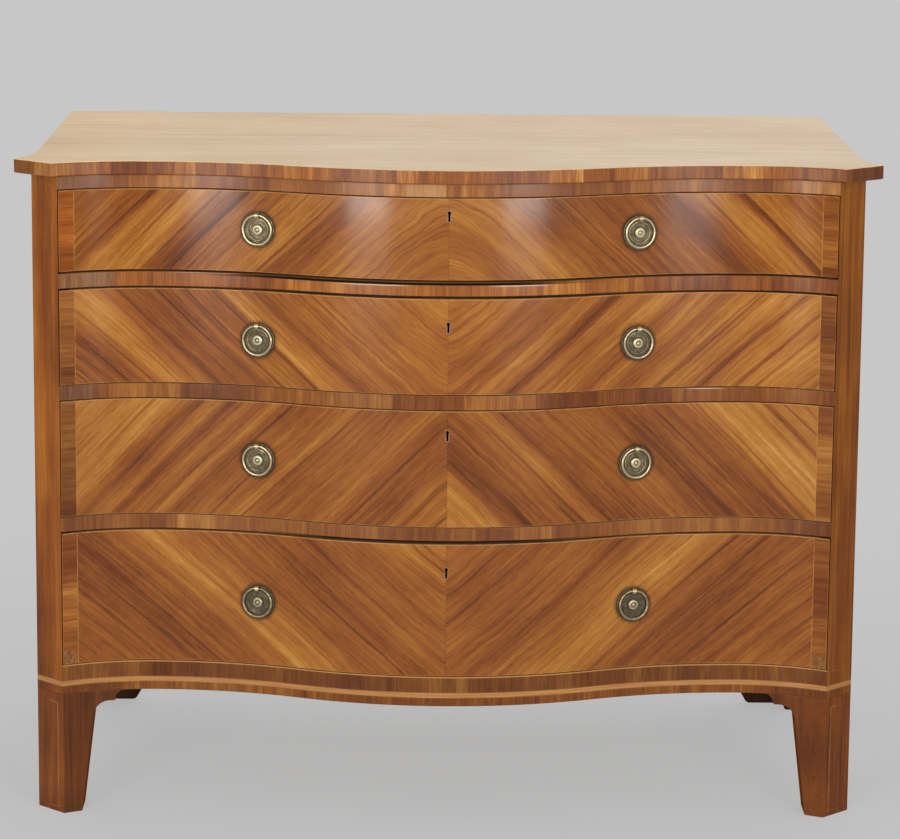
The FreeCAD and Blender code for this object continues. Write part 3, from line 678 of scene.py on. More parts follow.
    def rim(self, graph: Graph, x: Value, z: Value) -> Value:
        """Gather dark wax and a painted shadow round the two pull plates.

        Args:
            graph: material to draw in.
            x: coordinate along the chest.
            z: height above the floor.

        Returns:
            1 behind the plates and on their rims, and 0 away from them.
        """
        aside = (abs(x) - self.pull.x) / math.cos(self.pull.turn)
        above = z - self.pull.z
        away = (aside * aside + above * above).math("SQRT")
        ragged = graph.noise(x / 0.004, z / 0.004, self.seed + 41.0) * 0.004
        return 1 - (away - ragged).rise(0.0200, 0.0248)


@dataclass(frozen=True)
class RailBand(Veneer):
    """Cross-grained band on a rail, with its greyed and patched pieces, painted gap shadows, painted
    highlights on its edges and a painted pinkish sheen.
    """

    greyed: Pairs = ()
    patched: Pairs = ()
    deep: float = 1.0
    # Painted shadows in the gap above or below a drawer: start, end, low and high of each.
    painted_gap_shadows: Patches = ()
    # Painted highlights along the rail's edges: start, end, low and high of each.
    painted_glints: Patches = ()
    # Share of a painted pinkish-grey sheen laid over the band.
    painted_sheen: float = 0.0

    def material(self) -> bpy.types.Material:
        """Draw the band.

        Returns:
            The finished material.
        """
        graph, x, y, z = self.start()
        colour, fibres = self.bands(graph, x, z, 0.088, uneven=0.56)
        for start, end in self.greyed:
            grey = graph.ramp(fibres, (0.2, tone(92, 58, 34)), (0.8, tone(140, 102, 70)))
            colour = graph.blend(x.between(start, end, 0.0006) * 0.72, colour, grey)
        for start, end in self.patched:
            pale = graph.ramp(fibres, (0.2, tone(160, 104, 58)), (0.8, tone(196, 146, 96)))
            colour = graph.blend(x.between(start, end, 0.0004), colour, pale)
        rough = self.wax(graph, x, y, z)
        shade = self.deep * (0.92 + graph.noise(x / 0.16, z / 0.02, self.seed + 51.0) * 0.16)
        # Painted sheen: the band is blended towards a pale pinkish grey.
        colour = graph.blend(self.painted_sheen, graph.lit(colour, shade), tone(186, 146, 122))
        coat = 0.30
        # Painted shadow: the gap beside a drawer is darkened on the rail and left without polish.
        for start, end, low, high in self.painted_gap_shadows:
            dark = x.between(start, end, 0.07) * z.between(low, high, 0.0004)
            colour = graph.blend(dark, colour, tone(24, 13, 7))
            rough = rough + dark * 0.5
            coat = coat * (1 - dark)
        # Painted highlight: pale lines where the edges catch the light.
        for start, end, low, high in self.painted_glints:
            painted_glint = x.between(start, end, 0.012) * z.between(low, high, 0.0003)
            colour = graph.blend(painted_glint * 0.6, colour, tone(208, 182, 156))
        return self.polished(graph, colour, rough, fibres, 0.00006, coat)


@dataclass(frozen=True)
class BaseBand(Veneer):
    """Crossband, boxwood string and apron strip on the base rail."""

    def material(self) -> bpy.types.Material:
        """Draw the base rail.

        Returns:
            The finished material.
        """
        graph, x, y, z = self.start()
        upper, fibres = self.bands(graph, x, z, 0.066)
        apron, apron_fibres = self.bands(graph, x + 0.31, z, 0.30, 0.0019)
        foot = abs(x).rise(0.385, 0.425)
        over_foot = graph.ramp(
            apron_fibres, (0.2, tone(80, 38, 10)), (0.5, tone(97, 50, 14)), (0.8, tone(113, 63, 21)),
        )
        apron = graph.blend(foot * 0.9, graph.lit(apron, 0.64 + apron_fibres * 0.08), over_foot)
        upper = graph.lit(upper, 0.50 + fibres * 0.10)
        middle, top = sum(self.chest.string) / 2, self.chest.base_top
        colour = graph.blend(z.rise(middle - 0.0001, middle + 0.0001), apron, upper)
        colour = self.string_course(graph, colour, x, z)
        thin = z.between(top - 0.0015, top - 0.0001, 0.0002) * 0.6
        colour = graph.blend(thin, colour, BOXWOOD)
        return self.polished(graph, colour, self.wax(graph, x, y, z), fibres, 0.00006)


@dataclass(frozen=True)
class CornerVeneer(Veneer):
    """Upright veneer of the canted corners or the feet, with a boxwood string panel on the cant."""

    panel: Tuple[float, float]
    stops: Stops
    line: float = 1.0
    front_shade: float = 1.0
    plinth_shade: float = 1.0
    # Painted light and shade: levels that make the right-hand front and cant lighter or darker than the
    # left-hand ones.
    right_front_painted_light: float = 1.0
    right_cant_painted_light: float = 1.0
    panel_side: Tuple[float, float] = (0.4856, 0.5086)
    string_width: float = 0.0012

    def material(self) -> bpy.types.Material:
        """Draw the corner.

        Returns:
            The finished material.
        """
        graph, x, y, z = self.start()
        side = abs(x)
        across = x + y * 1.7
        sway = (graph.noise(across / 0.05, z / 0.3, self.seed, 1.0) - 0.5) * 0.012
        ribbon = graph.noise((across + sway) / 0.011, z / 0.34, self.seed + 3.0, 2.5, 0.6)
        fibres = graph.noise((across + sway) / 0.0014, z / 0.05, self.seed + 7.0, 2.0)
        pores = self.pores(graph, across / 0.0006, z / 0.011, 13.0)
        clouds = graph.noise(across / 0.06, z / 0.12, self.seed + 19.0, 2.0)
        level = 0.5 + (ribbon - 0.5) * 1.15 + (fibres - 0.5) * 0.36 + (clouds - 0.5) * 0.72 - pores * 0.1
        colour = graph.ramp(level, *self.stops)
        end, corner_y, (string_low, _) = self.chest.face_end, self.chest.corner_y, self.chest.string
        cant = 1 - y.rise(corner_y - 0.0016, corner_y - 0.0008)
        on_cant = cant * side.rise(end - 0.0004, end + 0.0004)
        worn = graph.noise(x / 0.01, z / 0.02, self.seed + 23.0, 2.0).rise(0.28, 0.62)
        inner = 1 - side.rise(0.4930, 0.4990) * 0.75
        string = (self.panelled(side, z, 0.0) - self.panelled(side, z, self.string_width)) * on_cant
        string = string * inner * self.line
        front = 1 - side.rise(end - 0.0010, end + 0.0004)
        plinth = 1 - z.rise(string_low - 0.0004, string_low + 0.0004)
        shade = (1 - front * (1 - self.front_shade)) * (1 - plinth * (1 - self.plinth_shade))
        # Painted light and shade on the right-hand half.
        right = x.rise(-0.001, 0.001)
        shade = shade * (1 - right * (1 - self.right_cant_painted_light + front * (self.right_cant_painted_light - self.right_front_painted_light)))
        colour = graph.lit(colour, shade)
        colour = graph.blend(string * (0.12 + worn * 0.30), colour, BOXWOOD)
        colour = self.string_course(graph, colour, x, z)
        dents = graph.noise(x / 0.006, y / 0.006, z / 0.012, 3.0, 0.65).rise(0.42, 0.62)
        scuffs = (1 - z.rise(0.0, 0.045)) * dents
        colour = graph.blend(scuffs * 0.5, colour, tone(78, 46, 27))
        rough = self.wax(graph, x, y, z) + scuffs * 0.2
        height = fibres * 0.5 - pores * 0.8 + string * 0.3
        return self.polished(graph, colour, rough, height, coat=0.30 - on_cant * (0.10 + right * 0.12))

    def panelled(self, side: Value, z: Value, inset: float) -> Value:
        """Lay out the string panel of the cant.

        Args:
            side: distance from the middle of the chest.
            z: height above the floor.
            inset: how much smaller the panel is all round.

        Returns:
            1 inside the panel and 0 outside it.
        """
        (near, far), (low, high) = self.panel_side, self.panel
        upright = z.between(low + inset, high - inset, 0.0002)
        return side.between(near + inset, far - inset, 0.0002) * upright


@dataclass(frozen=True)
class SideVeneer(Veneer):
    """Upright ribbon veneer of the two case sides."""

    def material(self) -> bpy.types.Material:
        """Draw the side.

        Returns:
            The finished material.
        """
        graph, x, y, z = self.start()
        sway = (graph.noise(y / 0.16, z / 0.45, self.seed, 1.5) - 0.5) * 0.07
        line = y + sway
        wide = graph.noise(line / 0.055, z / 0.6, self.seed + 2.0, 1.4).rise(0.30, 0.70)
        ribbon = graph.noise(line / 0.009, z / 0.34, self.seed + 5.0, 2.5, 0.62)
        fibres = graph.noise(line / 0.0014, z / 0.05, self.seed + 9.0, 2.0)
        pores = self.pores(graph, line / 0.0006, z / 0.012, 15.0)
        thread = graph.noise(line / 0.0036, z / 0.20, self.seed + 17.0, 2.0, 0.6)
        flecks = graph.noise(line / 0.0019, z / 0.024, self.seed + 19.0, 2.0, 0.6)
        clouds = graph.noise(y / 0.20, z / 0.26, self.seed + 21.0, 2.0)
        level = (
            0.46 + (wide - 0.5) * 0.34 + (clouds - 0.5) * 0.22 - ribbon.rise(0.54, 0.74) * 0.24
            + (1 - ribbon).rise(0.56, 0.74) * 0.12 + (thread - 0.5) * 0.46 + (flecks - 0.5) * 0.34
            + (fibres - 0.5) * 0.34 - pores * 0.14
        )
        colour = self.string_course(graph, graph.ramp(level, *VENEER_STOPS), y, z)
        return self.polished(graph, colour, self.wax(graph, x, y, z), fibres * 0.5 - pores * 0.8)


@dataclass(frozen=True)
class FadedTop(Veneer):
    """Sun-bleached top with lengthwise grain, and its crossbanded edge."""

    def material(self) -> bpy.types.Material:
        """Draw the top.

        Returns:
            The finished material.
        """
        graph, x, y, z = self.start()
        sway = (graph.noise(x / 0.35, y / 0.09, self.seed, 1.5) - 0.5) * 0.05
        line = y + sway
        ribbon = graph.noise(x / 0.55, line / 0.013, self.seed + 3.0, 3.0, 0.6)
        fibres = graph.noise(x / 0.07, line / 0.0016, self.seed + 7.0, 2.0)
        pores = self.pores(graph, x / 0.014, line / 0.0007, 11.0)
        clouds = graph.noise(x / 0.22, y / 0.12, self.seed + 15.0, 3.0)
        level = 0.52 + (ribbon - 0.5) * 0.75 + (fibres - 0.5) * 0.35 + (clouds - 0.5) * 0.7 - pores * 0.12
        pale = graph.ramp(
            level, (0.0, tone(182, 146, 100)), (0.35, tone(210, 177, 131)),
            (0.65, tone(223, 193, 150)), (1.0, tone(235, 211, 172)),
        )
        pale = graph.lit(pale, 1.12 - x.rise(-0.46, -0.10) * 0.12)
        edge, edge_fibres = self.bands(graph, x + y * 0.35, z, 0.047, 0.0015, 0.72)
        turned = graph.noise(x / 0.02, y / 0.02, self.seed + 19.0, 2.0) * 0.0005
        top, underside = self.chest.top_z, self.chest.top_underside
        on_top = (z + turned).rise(top - 0.0011, top - 0.0003)
        corner = abs(x).rise(0.43, 0.50)
        edge = graph.lit(edge, (0.80 + edge_fibres * 0.28) * (1 - corner * 0.26))
        colour = graph.blend(on_top, edge, pale)
        under = 1 - z.rise(underside + 0.0002, underside + 0.0008)
        colour = graph.blend(under, colour, tone(112, 72, 42))
        rough = self.wax(graph, x, y, z) + on_top * 0.12
        return graph.surface(
            colour, rough, fibres * 0.5 - pores * 0.6, 0.00008,
            Coat_Weight=0.20, Coat_Roughness=0.35, Specular_IOR_Level=0.2,
        )


@dataclass(frozen=True)
class RawBoard(Finish):
    """Unpolished wood that shows inside, behind or under the chest and on sawn edges."""

    axis: GrainAxis
    stops: Stops
    ring: float = 0.009
    dovetailed: bool = False
    width: float = 0.0
    gloss: float = 0.5

    def material(self) -> bpy.types.Material:
        """Draw the board.

        Returns:
            The finished material.
        """
        graph, *spot = self.start()
        x, y, z = spot
        grain = spot[self.axis.value]
        first, second = (part for index, part in enumerate(spot) if index != self.axis.value)
        shift = 0.0
        if self.width:
            place = x + self.chest.face_end
            grain = grain + (place / self.width).math("FLOOR") * 2.7
            shift = (graph.steps(place, self.width, self.seed * 10) - 0.5) * 0.30
        bow = (graph.noise(grain / 0.30, first / 0.11, second / 0.11, 1.5) - 0.5) * 0.05
        rings = graph.noise(
            (first + bow) / self.ring, (second + bow) / self.ring, grain / 0.9 + self.seed, 2.0,
        )
        fibres = graph.noise(first / 0.0013, second / 0.0013, grain / 0.04 + self.seed, 2.0)
        dust = graph.noise(x / 0.08, y / 0.08, z / 0.08, 4.0, 0.6)
        level = 0.5 + shift + (rings - 0.5) * 1.1 + (fibres - 0.5) * 0.4 + (dust - 0.5) * 0.45
        colour = graph.ramp(level, *self.stops)
        if self.dovetailed:
            # Painted shade: the front end of a drawer side, seen through the gap round the front, is made
            # nearly black.
            painted_shade_end = 1 - y.rise(self.chest.lap_y + 0.0002, self.chest.lap_y + 0.0012)
            colour = graph.blend(painted_shade_end, self.dovetails(graph, colour, x, y, z), tone(30, 18, 10))
        rough = 0.62 + dust * 0.3
        return graph.surface(
            colour, rough, rings * 0.4 + fibres, 0.00018, IOR=1.45, Specular_IOR_Level=self.gloss,
        )

    def dovetails(self, graph: Graph, colour: Value, x: Value, y: Value, z: Value) -> Value:
        """Show the pins of the drawer front in the drawer sides.

        Args:
            graph: material to draw in.
            colour: colour of the board.
            x: coordinate along the chest.
            y: coordinate from front to back.
            z: height above the floor.

        Returns:
            Colour with the pins.
        """
        depth, end = (y - self.chest.lap_y) / 0.016, self.chest.front_end
        inside = abs(((z / 0.031).math("FRACT") - 0.5) * 2)
        flare = inside - 0.62 - depth * 0.16
        shown = (1 - depth.rise(0.97, 1.03)) * abs(x).rise(end - 0.0006, end - 0.0002)
        colour = graph.blend(flare.rise(-0.03, 0.03) * shown * 0.85, colour, tone(126, 78, 44))
        return graph.blend(flare.between(-0.07, 0.03, 0.02) * shown * 0.6, colour, tone(70, 44, 26))


@dataclass(frozen=True)
class Brass(Finish):
    """Old metal with bright worn crests and dark hollows."""

    bright: Colour
    dull: Colour
    wear: float
    gloss: float = 0.27

    def material(self) -> bpy.types.Material:
        """Draw plain old metal and give its material."""
        graph, x, y, z = self.start()
        return self.polish(graph, x, y, z, 1.0)

    def polish(
        self, graph: Graph, x: Value, y: Value, z: Value, crest: Number, rings: Optional[Value] = None,
    ) -> bpy.types.Material:
        """Close a brass graph.

        Args:
            graph: material to draw in.
            x: coordinate along the chest.
            y: coordinate from front to back.
            z: height above the floor.
            crest: 1 where hands keep the metal bright.
            rings: fine turned relief, where there is some.

        Returns:
            The finished material.
        """
        blotch = graph.noise(x / 0.006, y / 0.006, z / 0.006 + self.seed, 4.0, 0.62)
        fine = graph.noise(x / 0.0011, y / 0.0011, z / 0.0011 + self.seed, 2.0)
        clean = (crest * self.wear + (blotch - 0.5) * 0.9 + (fine - 0.5) * 0.3).rise(0.12, 0.78)
        colour = graph.blend(clean, self.dull, self.bright)
        rough = 0.56 - clean * self.gloss + (fine - 0.5) * 0.16
        height = fine * 0.4 + blotch * 0.6
        if rings is not None:
            height = height + rings * 2.0
        return graph.surface(colour, rough, height, 0.00006, Metallic=0.62 + clean * 0.36)


@dataclass(frozen=True)
class LockBrass(Brass):
    """Brass of the locks, painted black as shade in the keyhole and the keyway behind it."""

    def material(self) -> bpy.types.Material:
        """Draw the brass with its keyway painted dark as shade.

        Returns:
            The finished material.
        """
        graph, x, y, z = self.start()
        # Painted shade: the brass inside the keyway is forced to its darkest colour.
        keyway = y.between(self.chest.bow_y + 0.0002, self.chest.bow_y + 0.0220, 0.0001)
        inside = keyway * (1 - abs(x).rise(0.0040, 0.0046))
        return self.polish(graph, x, y, z, 1 - inside * 4)


@dataclass(frozen=True, kw_only=True)
class PlateBrass(Brass):
    """Brass of the stamped pull plates, with its rings drawn round each pull's own centre."""

    pull: PullPlace
    pitch: float = 0.0019

    def material(self) -> bpy.types.Material:
        """Draw the ringed brass.

        Returns:
            The finished material.
        """
        graph, x, y, z = self.start()
        away = self.away(x, y, z)
        bead = away.between(0.0128, 0.0141, 0.0004) * 0.75
        edge = away.between(0.0197, 0.0212, 0.0004) * 0.38
        boss = (1 - away.rise(0.0064, 0.0068)) * 1.2
        inner, outer = away.between(0.0074, 0.0122, 0.0003), away.between(0.0147, 0.0186, 0.0003)
        reeds = ((away * (math.tau / self.pitch)).math("SINE") * 0.5 + 0.5) * inner.most(outer)
        return self.polish(graph, x, y, z, bead.most(edge, boss) + reeds * 0.55, reeds)

    def away(self, x: Value, y: Value, z: Value) -> Value:
        """Give the distance from the axis of the nearer pull.

        Args:
            x: coordinate along the chest.
            y: coordinate from front to back.
            z: height above the floor.

        Returns:
            Distance in metres.
        """
        aside, ahead, above = abs(x) - self.pull.x, y - self.pull.y, z - self.pull.z
        out = aside * math.sin(self.pull.turn) - ahead * math.cos(self.pull.turn)
        square = aside * aside + ahead * ahead + above * above - out * out
        return square.most(0.0).math("SQRT")


@dataclass(frozen=True, kw_only=True)
class ButtonBrass(PlateBrass):
    """Brass of the turned buttons, dark in the groove round the tip."""

    groove: Tuple[float, float] = (0.0021, 0.0035)

    def material(self) -> bpy.types.Material:
        """Draw the grooved brass.

        Returns:
            The finished material.
        """
        graph, x, y, z = self.start()
        away = self.away(x, y, z)
        dirt = away.between(*self.groove, 0.0004).most(away.rise(0.0062, 0.0069))
        return self.polish(graph, x, y, z, 1.04 - dirt * 0.70)


class Finishes:
    """All finishes of the chest, made once."""

    SOFTWOOD = (
        (0.0, tone(110, 72, 38)), (0.4, tone(148, 104, 60)),
        (0.7, tone(174, 130, 80)), (1.0, tone(196, 156, 104)),
    )
    OAK = (
        (0.0, tone(116, 80, 46)), (0.4, tone(156, 114, 68)),
        (0.7, tone(182, 140, 90)), (1.0, tone(204, 166, 116)),
    )
    # Dark stain, made darker still as painted shade, for the backs of the brackets and the rear feet under
    # the case.
    STAINED_AND_SHADED = (
        (0.0, tone(32, 18, 9)), (0.4, tone(47, 28, 15)), (0.7, tone(62, 38, 21)), (1.0, tone(80, 52, 30)),
    )
    CORNER = (
        (0.0, tone(96, 43, 7)), (0.3, tone(124, 64, 14)), (0.55, tone(147, 82, 21)),
        (0.8, tone(168, 101, 31)), (1.0, tone(188, 123, 46)),
    )
    FOOT = (
        (0.0, tone(66, 28, 6)), (0.3, tone(98, 48, 13)), (0.55, tone(124, 64, 19)),
        (0.8, tone(144, 81, 28)), (1.0, tone(164, 102, 42)),
    )

    def __init__(self, chest: Chest) -> None:
        """Make the finishes that several pieces share.

        Args:
            chest: places on the chest.
        """
        self.corner = CornerVeneer(
            chest, "corner_veneer", 2.4, panel=(0.1885, 0.797), stops=self.CORNER, line=0.45,
            plinth_shade=0.76, right_front_painted_light=0.76, right_cant_painted_light=0.76,
        ).material()
        self.foot = CornerVeneer(
            chest, "foot_veneer", 6.1, panel=(0.006, 0.1432), stops=self.FOOT, line=0.75,
            front_shade=0.60, right_front_painted_light=1.18, right_cant_painted_light=0.92,
        ).material()
        self.side = SideVeneer(chest, "side_veneer", 4.7).material()
        self.top = FadedTop(chest, "faded_top", 1.3).material()
        self.rails = self.rail_bands(chest)
        self.softwood = {
            axis: RawBoard(
                chest, f"softwood_{axis.name.lower()}", 1.7 + axis.value, axis, self.SOFTWOOD,
            ).material()
            for axis in GrainAxis
        }
        self.back = RawBoard(
            chest, "back_softwood", 3.0, GrainAxis.UPRIGHT, self.SOFTWOOD, ring=0.010,
            width=chest.board_width,
        ).material()
        self.stained_and_shaded = RawBoard(
            chest, "stained_and_shaded_board", 8.8, GrainAxis.UPRIGHT, self.STAINED_AND_SHADED, gloss=0.1,
        ).material()
        self.sawn = RawBoard(
            chest, "foot_sawn_edge", 4.1, GrainAxis.UPRIGHT, self.FOOT, gloss=0.0,
        ).material()
        self.oak_across = RawBoard(
            chest, "oak_across", 2.9, GrainAxis.ACROSS, self.OAK, ring=0.006,
        ).material()
        self.oak_side = RawBoard(
            chest, "oak_side", 5.3, GrainAxis.DEPTH, self.OAK, ring=0.006, dovetailed=True,
        ).material()
        self.bolt = Brass(
            chest, "bolt_brass", 6.2, bright=tone(214, 192, 146), dull=tone(104, 88, 58), wear=0.66,
        ).material()
        self.lock = LockBrass(
            chest, "lock_brass", 9.4, bright=tone(178, 142, 102), dull=tone(30, 12, 5), wear=0.62,
        ).material()
        self.iron = Brass(
            chest, "nail_iron", 7.7, bright=tone(92, 84, 76), dull=tone(52, 38, 30), wear=0.4,
        ).material()

    @staticmethod
    def rail_bands(chest: Chest) -> Dict[str, bpy.types.Material]:
        """Make the bands of the rails.

        Args:
            chest: places on the chest.

        Returns:
            The material of each rail, by the name of its solid.
        """
        return {
            "top_rail": RailBand(
                chest, "frieze_band", 3.1, greyed=((-chest.face_end, -0.449),), patched=((-0.052, -0.004),),
                deep=0.88, painted_sheen=0.07,
            ).material(),
            "divider_rail_1": RailBand(
                chest, "rail_band_1", 5.9, greyed=((-chest.face_end, -0.413),),
                painted_gap_shadows=((-0.27, 0.15, 0.6836, 0.6880), (-0.24, 0.20, 0.6680, 0.6703)),
                painted_glints=(
                    (-0.341, -0.262, 0.6864, 0.6878), (-0.130, -0.052, 0.6820, 0.6833),
                    (0.055, 0.12, 0.6820, 0.6833), (0.309, 0.339, 0.6866, 0.6878),
                ),
            ).material(),
            "divider_rail_2": RailBand(
                chest, "rail_band_2", 7.4, greyed=((-chest.face_end, -0.438),), deep=0.76,
                painted_glints=((0.302, 0.340, 0.5450, 0.5461),),
            ).material(),
            "divider_rail_3": RailBand(
                chest, "rail_band_3", 9.6, deep=0.74, painted_gap_shadows=((-0.20, 0.15, 0.3620, 0.3652),), painted_sheen=0.03,
            ).material(),
            "base_rail": BaseBand(chest, "base_band", 8.2).material(),
        }


def forward(face: bmesh.types.BMFace) -> Wood:
    """Show the finish on faces that look forward."""
    return Wood.SHOWN if face.normal.y < -FACING else Wood.HIDDEN


def outward(out: int) -> FaceChoice:
    """Show the finish on faces that look out to the left, for -1, or the right, for 1."""
    return lambda face: Wood.SHOWN if face.normal.x * out > FACING else Wood.HIDDEN


class Shop:
    """Measures the solids and makes meshes into pieces of the chest."""

    HANDS = {"left": -1, "right": 1}
    SMOOTH_BELOW = math.radians(38)
    SHARP_ABOVE = math.radians(35)
    FLAT_BELOW = math.radians(0.15)
    WELD = 0.000002
    ON_FLOOR = 0.00002

    def __init__(self, frame: Dict[str, Any]) -> None:
        """Keep the loaded frame and measure the chest."""
        self.frame = frame
        self.chest = self.measure()

    def points(self, node: str) -> Sequence[Vector]:
        """Give the points of a solid."""
        return [vert.co for vert in self.frame["nodes"][node].data.vertices]

    def box(self, node: str) -> Pairs:
        """Give the lowest and the highest place of a solid on each axis."""
        return tuple((min(places), max(places)) for places in zip(*self.points(node)))

    def measure(self) -> Chest:
        """Read the places on the chest from the solids.

        Returns:
            The places.
        """
        (_, face_end), (bow_y, _), (base_low, base_top) = self.box("base_rail")
        (_, corner_end), (corner_front, _), _ = self.box("right_corner_post")
        (_, front_end), _, _ = self.box("drawer_1_front")
        _, (lap_y, _), _ = self.box("drawer_1_sides")
        _, (_, back_y), _ = self.box("back_boards")
        _, _, (top_underside, top_z) = self.box("top_board")
        cant = corner_end - face_end  # the canted corner is as deep as it is wide
        return Chest(
            face_end=face_end, front_end=front_end, corner_y=corner_front + cant, lap_y=lap_y, bow_y=bow_y,
            back_y=back_y, top_z=top_z, top_underside=top_underside, base_top=base_top, base_low=base_low,
        )

    def pull_place(self, plates: str) -> PullPlace:
        """Read the place of a drawer's right pull from the rim of its plate.

        Args:
            plates: solid of the drawer's two plates.

        Returns:
            The place.
        """
        right = [point for point in self.points(plates) if point.x > 0]
        inner = min(right, key=lambda point: point.x)
        outer = max(right, key=lambda point: point.y)
        x, y, z = (inner + outer) / 2
        return PullPlace(x, y, z, math.atan2(outer.y - inner.y, outer.x - inner.x))

    def finish(
        self, mesh: bmesh.types.BMesh, name: str, materials: Sequence[bpy.types.Material],
        body: str, slot: str, *nodes: str,
    ) -> bpy.types.Object:
        """Turn a bmesh into a piece.

        Args:
            mesh: the shape, which is used up.
            name: name of the piece.
            materials: its materials, in the order of its faces' indices.
            body: body that it moves with.
            slot: material slot of the record that it belongs to; not used.
            nodes: solids that it stands for.

        Returns:
            The piece.
        """
        data = bpy.data.meshes.new(name)
        mesh.to_mesh(data)
        mesh.free()
        for material in materials:
            data.materials.append(material)
        data.shade_smooth()
        data.set_sharp_from_angle(angle=self.SMOOTH_BELOW)
        piece = bpy.data.objects.new(name, data)
        bpy.context.scene.collection.objects.link(piece)
        even = piece.modifiers.new("even_shading", "WEIGHTED_NORMAL")
        even.keep_sharp = True
        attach(piece, body)
        if nodes:
            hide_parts(*nodes)
        log.info("%s: %d faces on %s", name, len(data.polygons), body)
        return piece

    def eased(
        self, node: str, materials: Sequence[bpy.types.Material], body: str, slot: str,
        ease: float, choice: Optional[FaceChoice] = None, edges: Optional[EdgeChoice] = None,
        toes: float = 0.0,
    ) -> bpy.types.Object:
        """Copy a solid with its sharp edges eased.

        Args:
            node: the solid.
            materials: materials of the copy.
            body: body that it moves with.
            slot: material slot of the record.
            ease: width of the eased edges, in metres.
            choice: finish of each face, or the first one for all.
            edges: which sharp edges are eased, or all of them.
            toes: width of the worn edges on the floor, in metres.

        Returns:
            The piece.
        """
        mesh = bmesh.new()
        mesh.from_mesh(self.frame["nodes"][node].data)
        bmesh.ops.remove_doubles(mesh, verts=mesh.verts, dist=self.WELD)
        bmesh.ops.dissolve_limit(mesh, angle_limit=self.FLAT_BELOW, verts=mesh.verts, edges=mesh.edges)
        if toes:
            self.wear_toes(mesh, toes)
        for face in mesh.faces:
            face.material_index = (choice(face) if choice else Wood.SHOWN).value
        sharp = [
            edge for edge in mesh.edges
            if len(edge.link_faces) == 2 and edge.calc_face_angle() > self.SHARP_ABOVE
            and (edges is None or edges(edge))
        ]
        bmesh.ops.bevel(
            mesh, geom=sharp, offset=ease, offset_type="OFFSET", segments=2, profile=0.5,
            affect="EDGES", material=-1, clamp_overlap=False,
        )
        return self.finish(mesh, node + "_eased", materials, body, slot, node)

    def wear_toes(self, mesh: bmesh.types.BMesh, wear: float) -> None:
        """Round the part of a foot that drags on the floor.

        Args:
            mesh: the foot.
            wear: width of the rounding, in metres.
        """
        floor = [
            edge for edge in mesh.edges
            if len(edge.link_faces) == 2 and all(vert.co.z < self.ON_FLOOR for vert in edge.verts)
            and any(abs(face.normal.z) < 0.9 for face in edge.link_faces)
        ]
        bmesh.ops.bevel(
            mesh, geom=floor, offset=wear, offset_type="OFFSET", segments=3, profile=0.5,
            affect="EDGES", material=-1, clamp_overlap=True,
        )

    def dress(self, node: str, material: bpy.types.Material) -> None:
        """Keep a solid and give it a finish."""
        self.frame["nodes"][node].material_slots[0].material = material
        log.info("%s: kept with %s", node, material.name)


@dataclass
class CaseWork:
    """Top, rails, corners, sides and the plain wood behind them."""

    ease: float = 0.0006
    board_ease: float = 0.0009

    def build(self, shop: Shop, finishes: Finishes) -> None:
        """Build and dress the case.

        Args:
            shop: makes the pieces.
            finishes: finishes of the chest.
        """
        shop.dress("top_board", finishes.top)
        raw = finishes.softwood
        for rail, band in finishes.rails.items():
            shop.eased(rail, (band, raw[GrainAxis.ACROSS]), "case", "crossband", self.ease, forward)
        for hand, out in shop.HANDS.items():
            shop.eased(f"{hand}_corner_post", (finishes.corner,), "case", "corner_veneer", self.ease)
            shop.eased(
                f"{hand}_side_panel", (finishes.side, raw[GrainAxis.UPRIGHT]), "case", "case_side",
                self.ease, outward(out),
            )
        grains = {
            "bottom_board": GrainAxis.ACROSS, "drawer_runners": GrainAxis.DEPTH,
            "drawer_stops": GrainAxis.ACROSS, "dustboards": GrainAxis.ACROSS,
            "glue_blocks": GrainAxis.UPRIGHT,
        }
        for node, axis in grains.items():
            shop.eased(node, (raw[axis],), "case", "carcass_softwood", self.board_ease)
        shop.eased("back_boards", (finishes.back,), "case", "carcass_softwood", self.board_ease)


@dataclass
class BackNails:
    """Rose-headed nails that hold the back boards."""

    rows: Tuple[float, ...] = (0.180, 0.480, 0.790)
    radius: float = 0.0042
    flat: float = 0.35
    proud: float = 0.0014
    clear: float = 0.45
    spread: float = 0.31
    beside: float = 0.004
    above: float = 0.006

    def build(self, shop: Shop, finishes: Finishes) -> None:
        """Drive two nails into each board at each row.

        Args:
            shop: makes the pieces.
            finishes: finishes of the chest.
        """
        mesh = bmesh.new()
        chest, width = shop.chest, shop.chest.board_width
        turn = Matrix.Rotation(math.radians(-90), 4, "X")
        for board in range(chest.boards):
            middle = (board + 0.5) * width - chest.face_end
            for row, height in enumerate(self.rows):
                for out in shop.HANDS.values():
                    spot = Vector((
                        middle + out * (width * self.spread + self.beside * ((board + row) % 3)),
                        chest.back_y + self.proud * self.clear,
                        height + self.above * ((board * 2 + row) % 3 - 1),
                    ))
                    bmesh.ops.create_cone(
                        mesh, cap_ends=True, segments=7, radius1=self.radius,
                        radius2=self.radius * self.flat, depth=self.proud,
                        matrix=Matrix.Translation(spot) @ turn,
                    )
        shop.finish(mesh, "back_board_nails", (finishes.iron,), "case", "lock_brass")


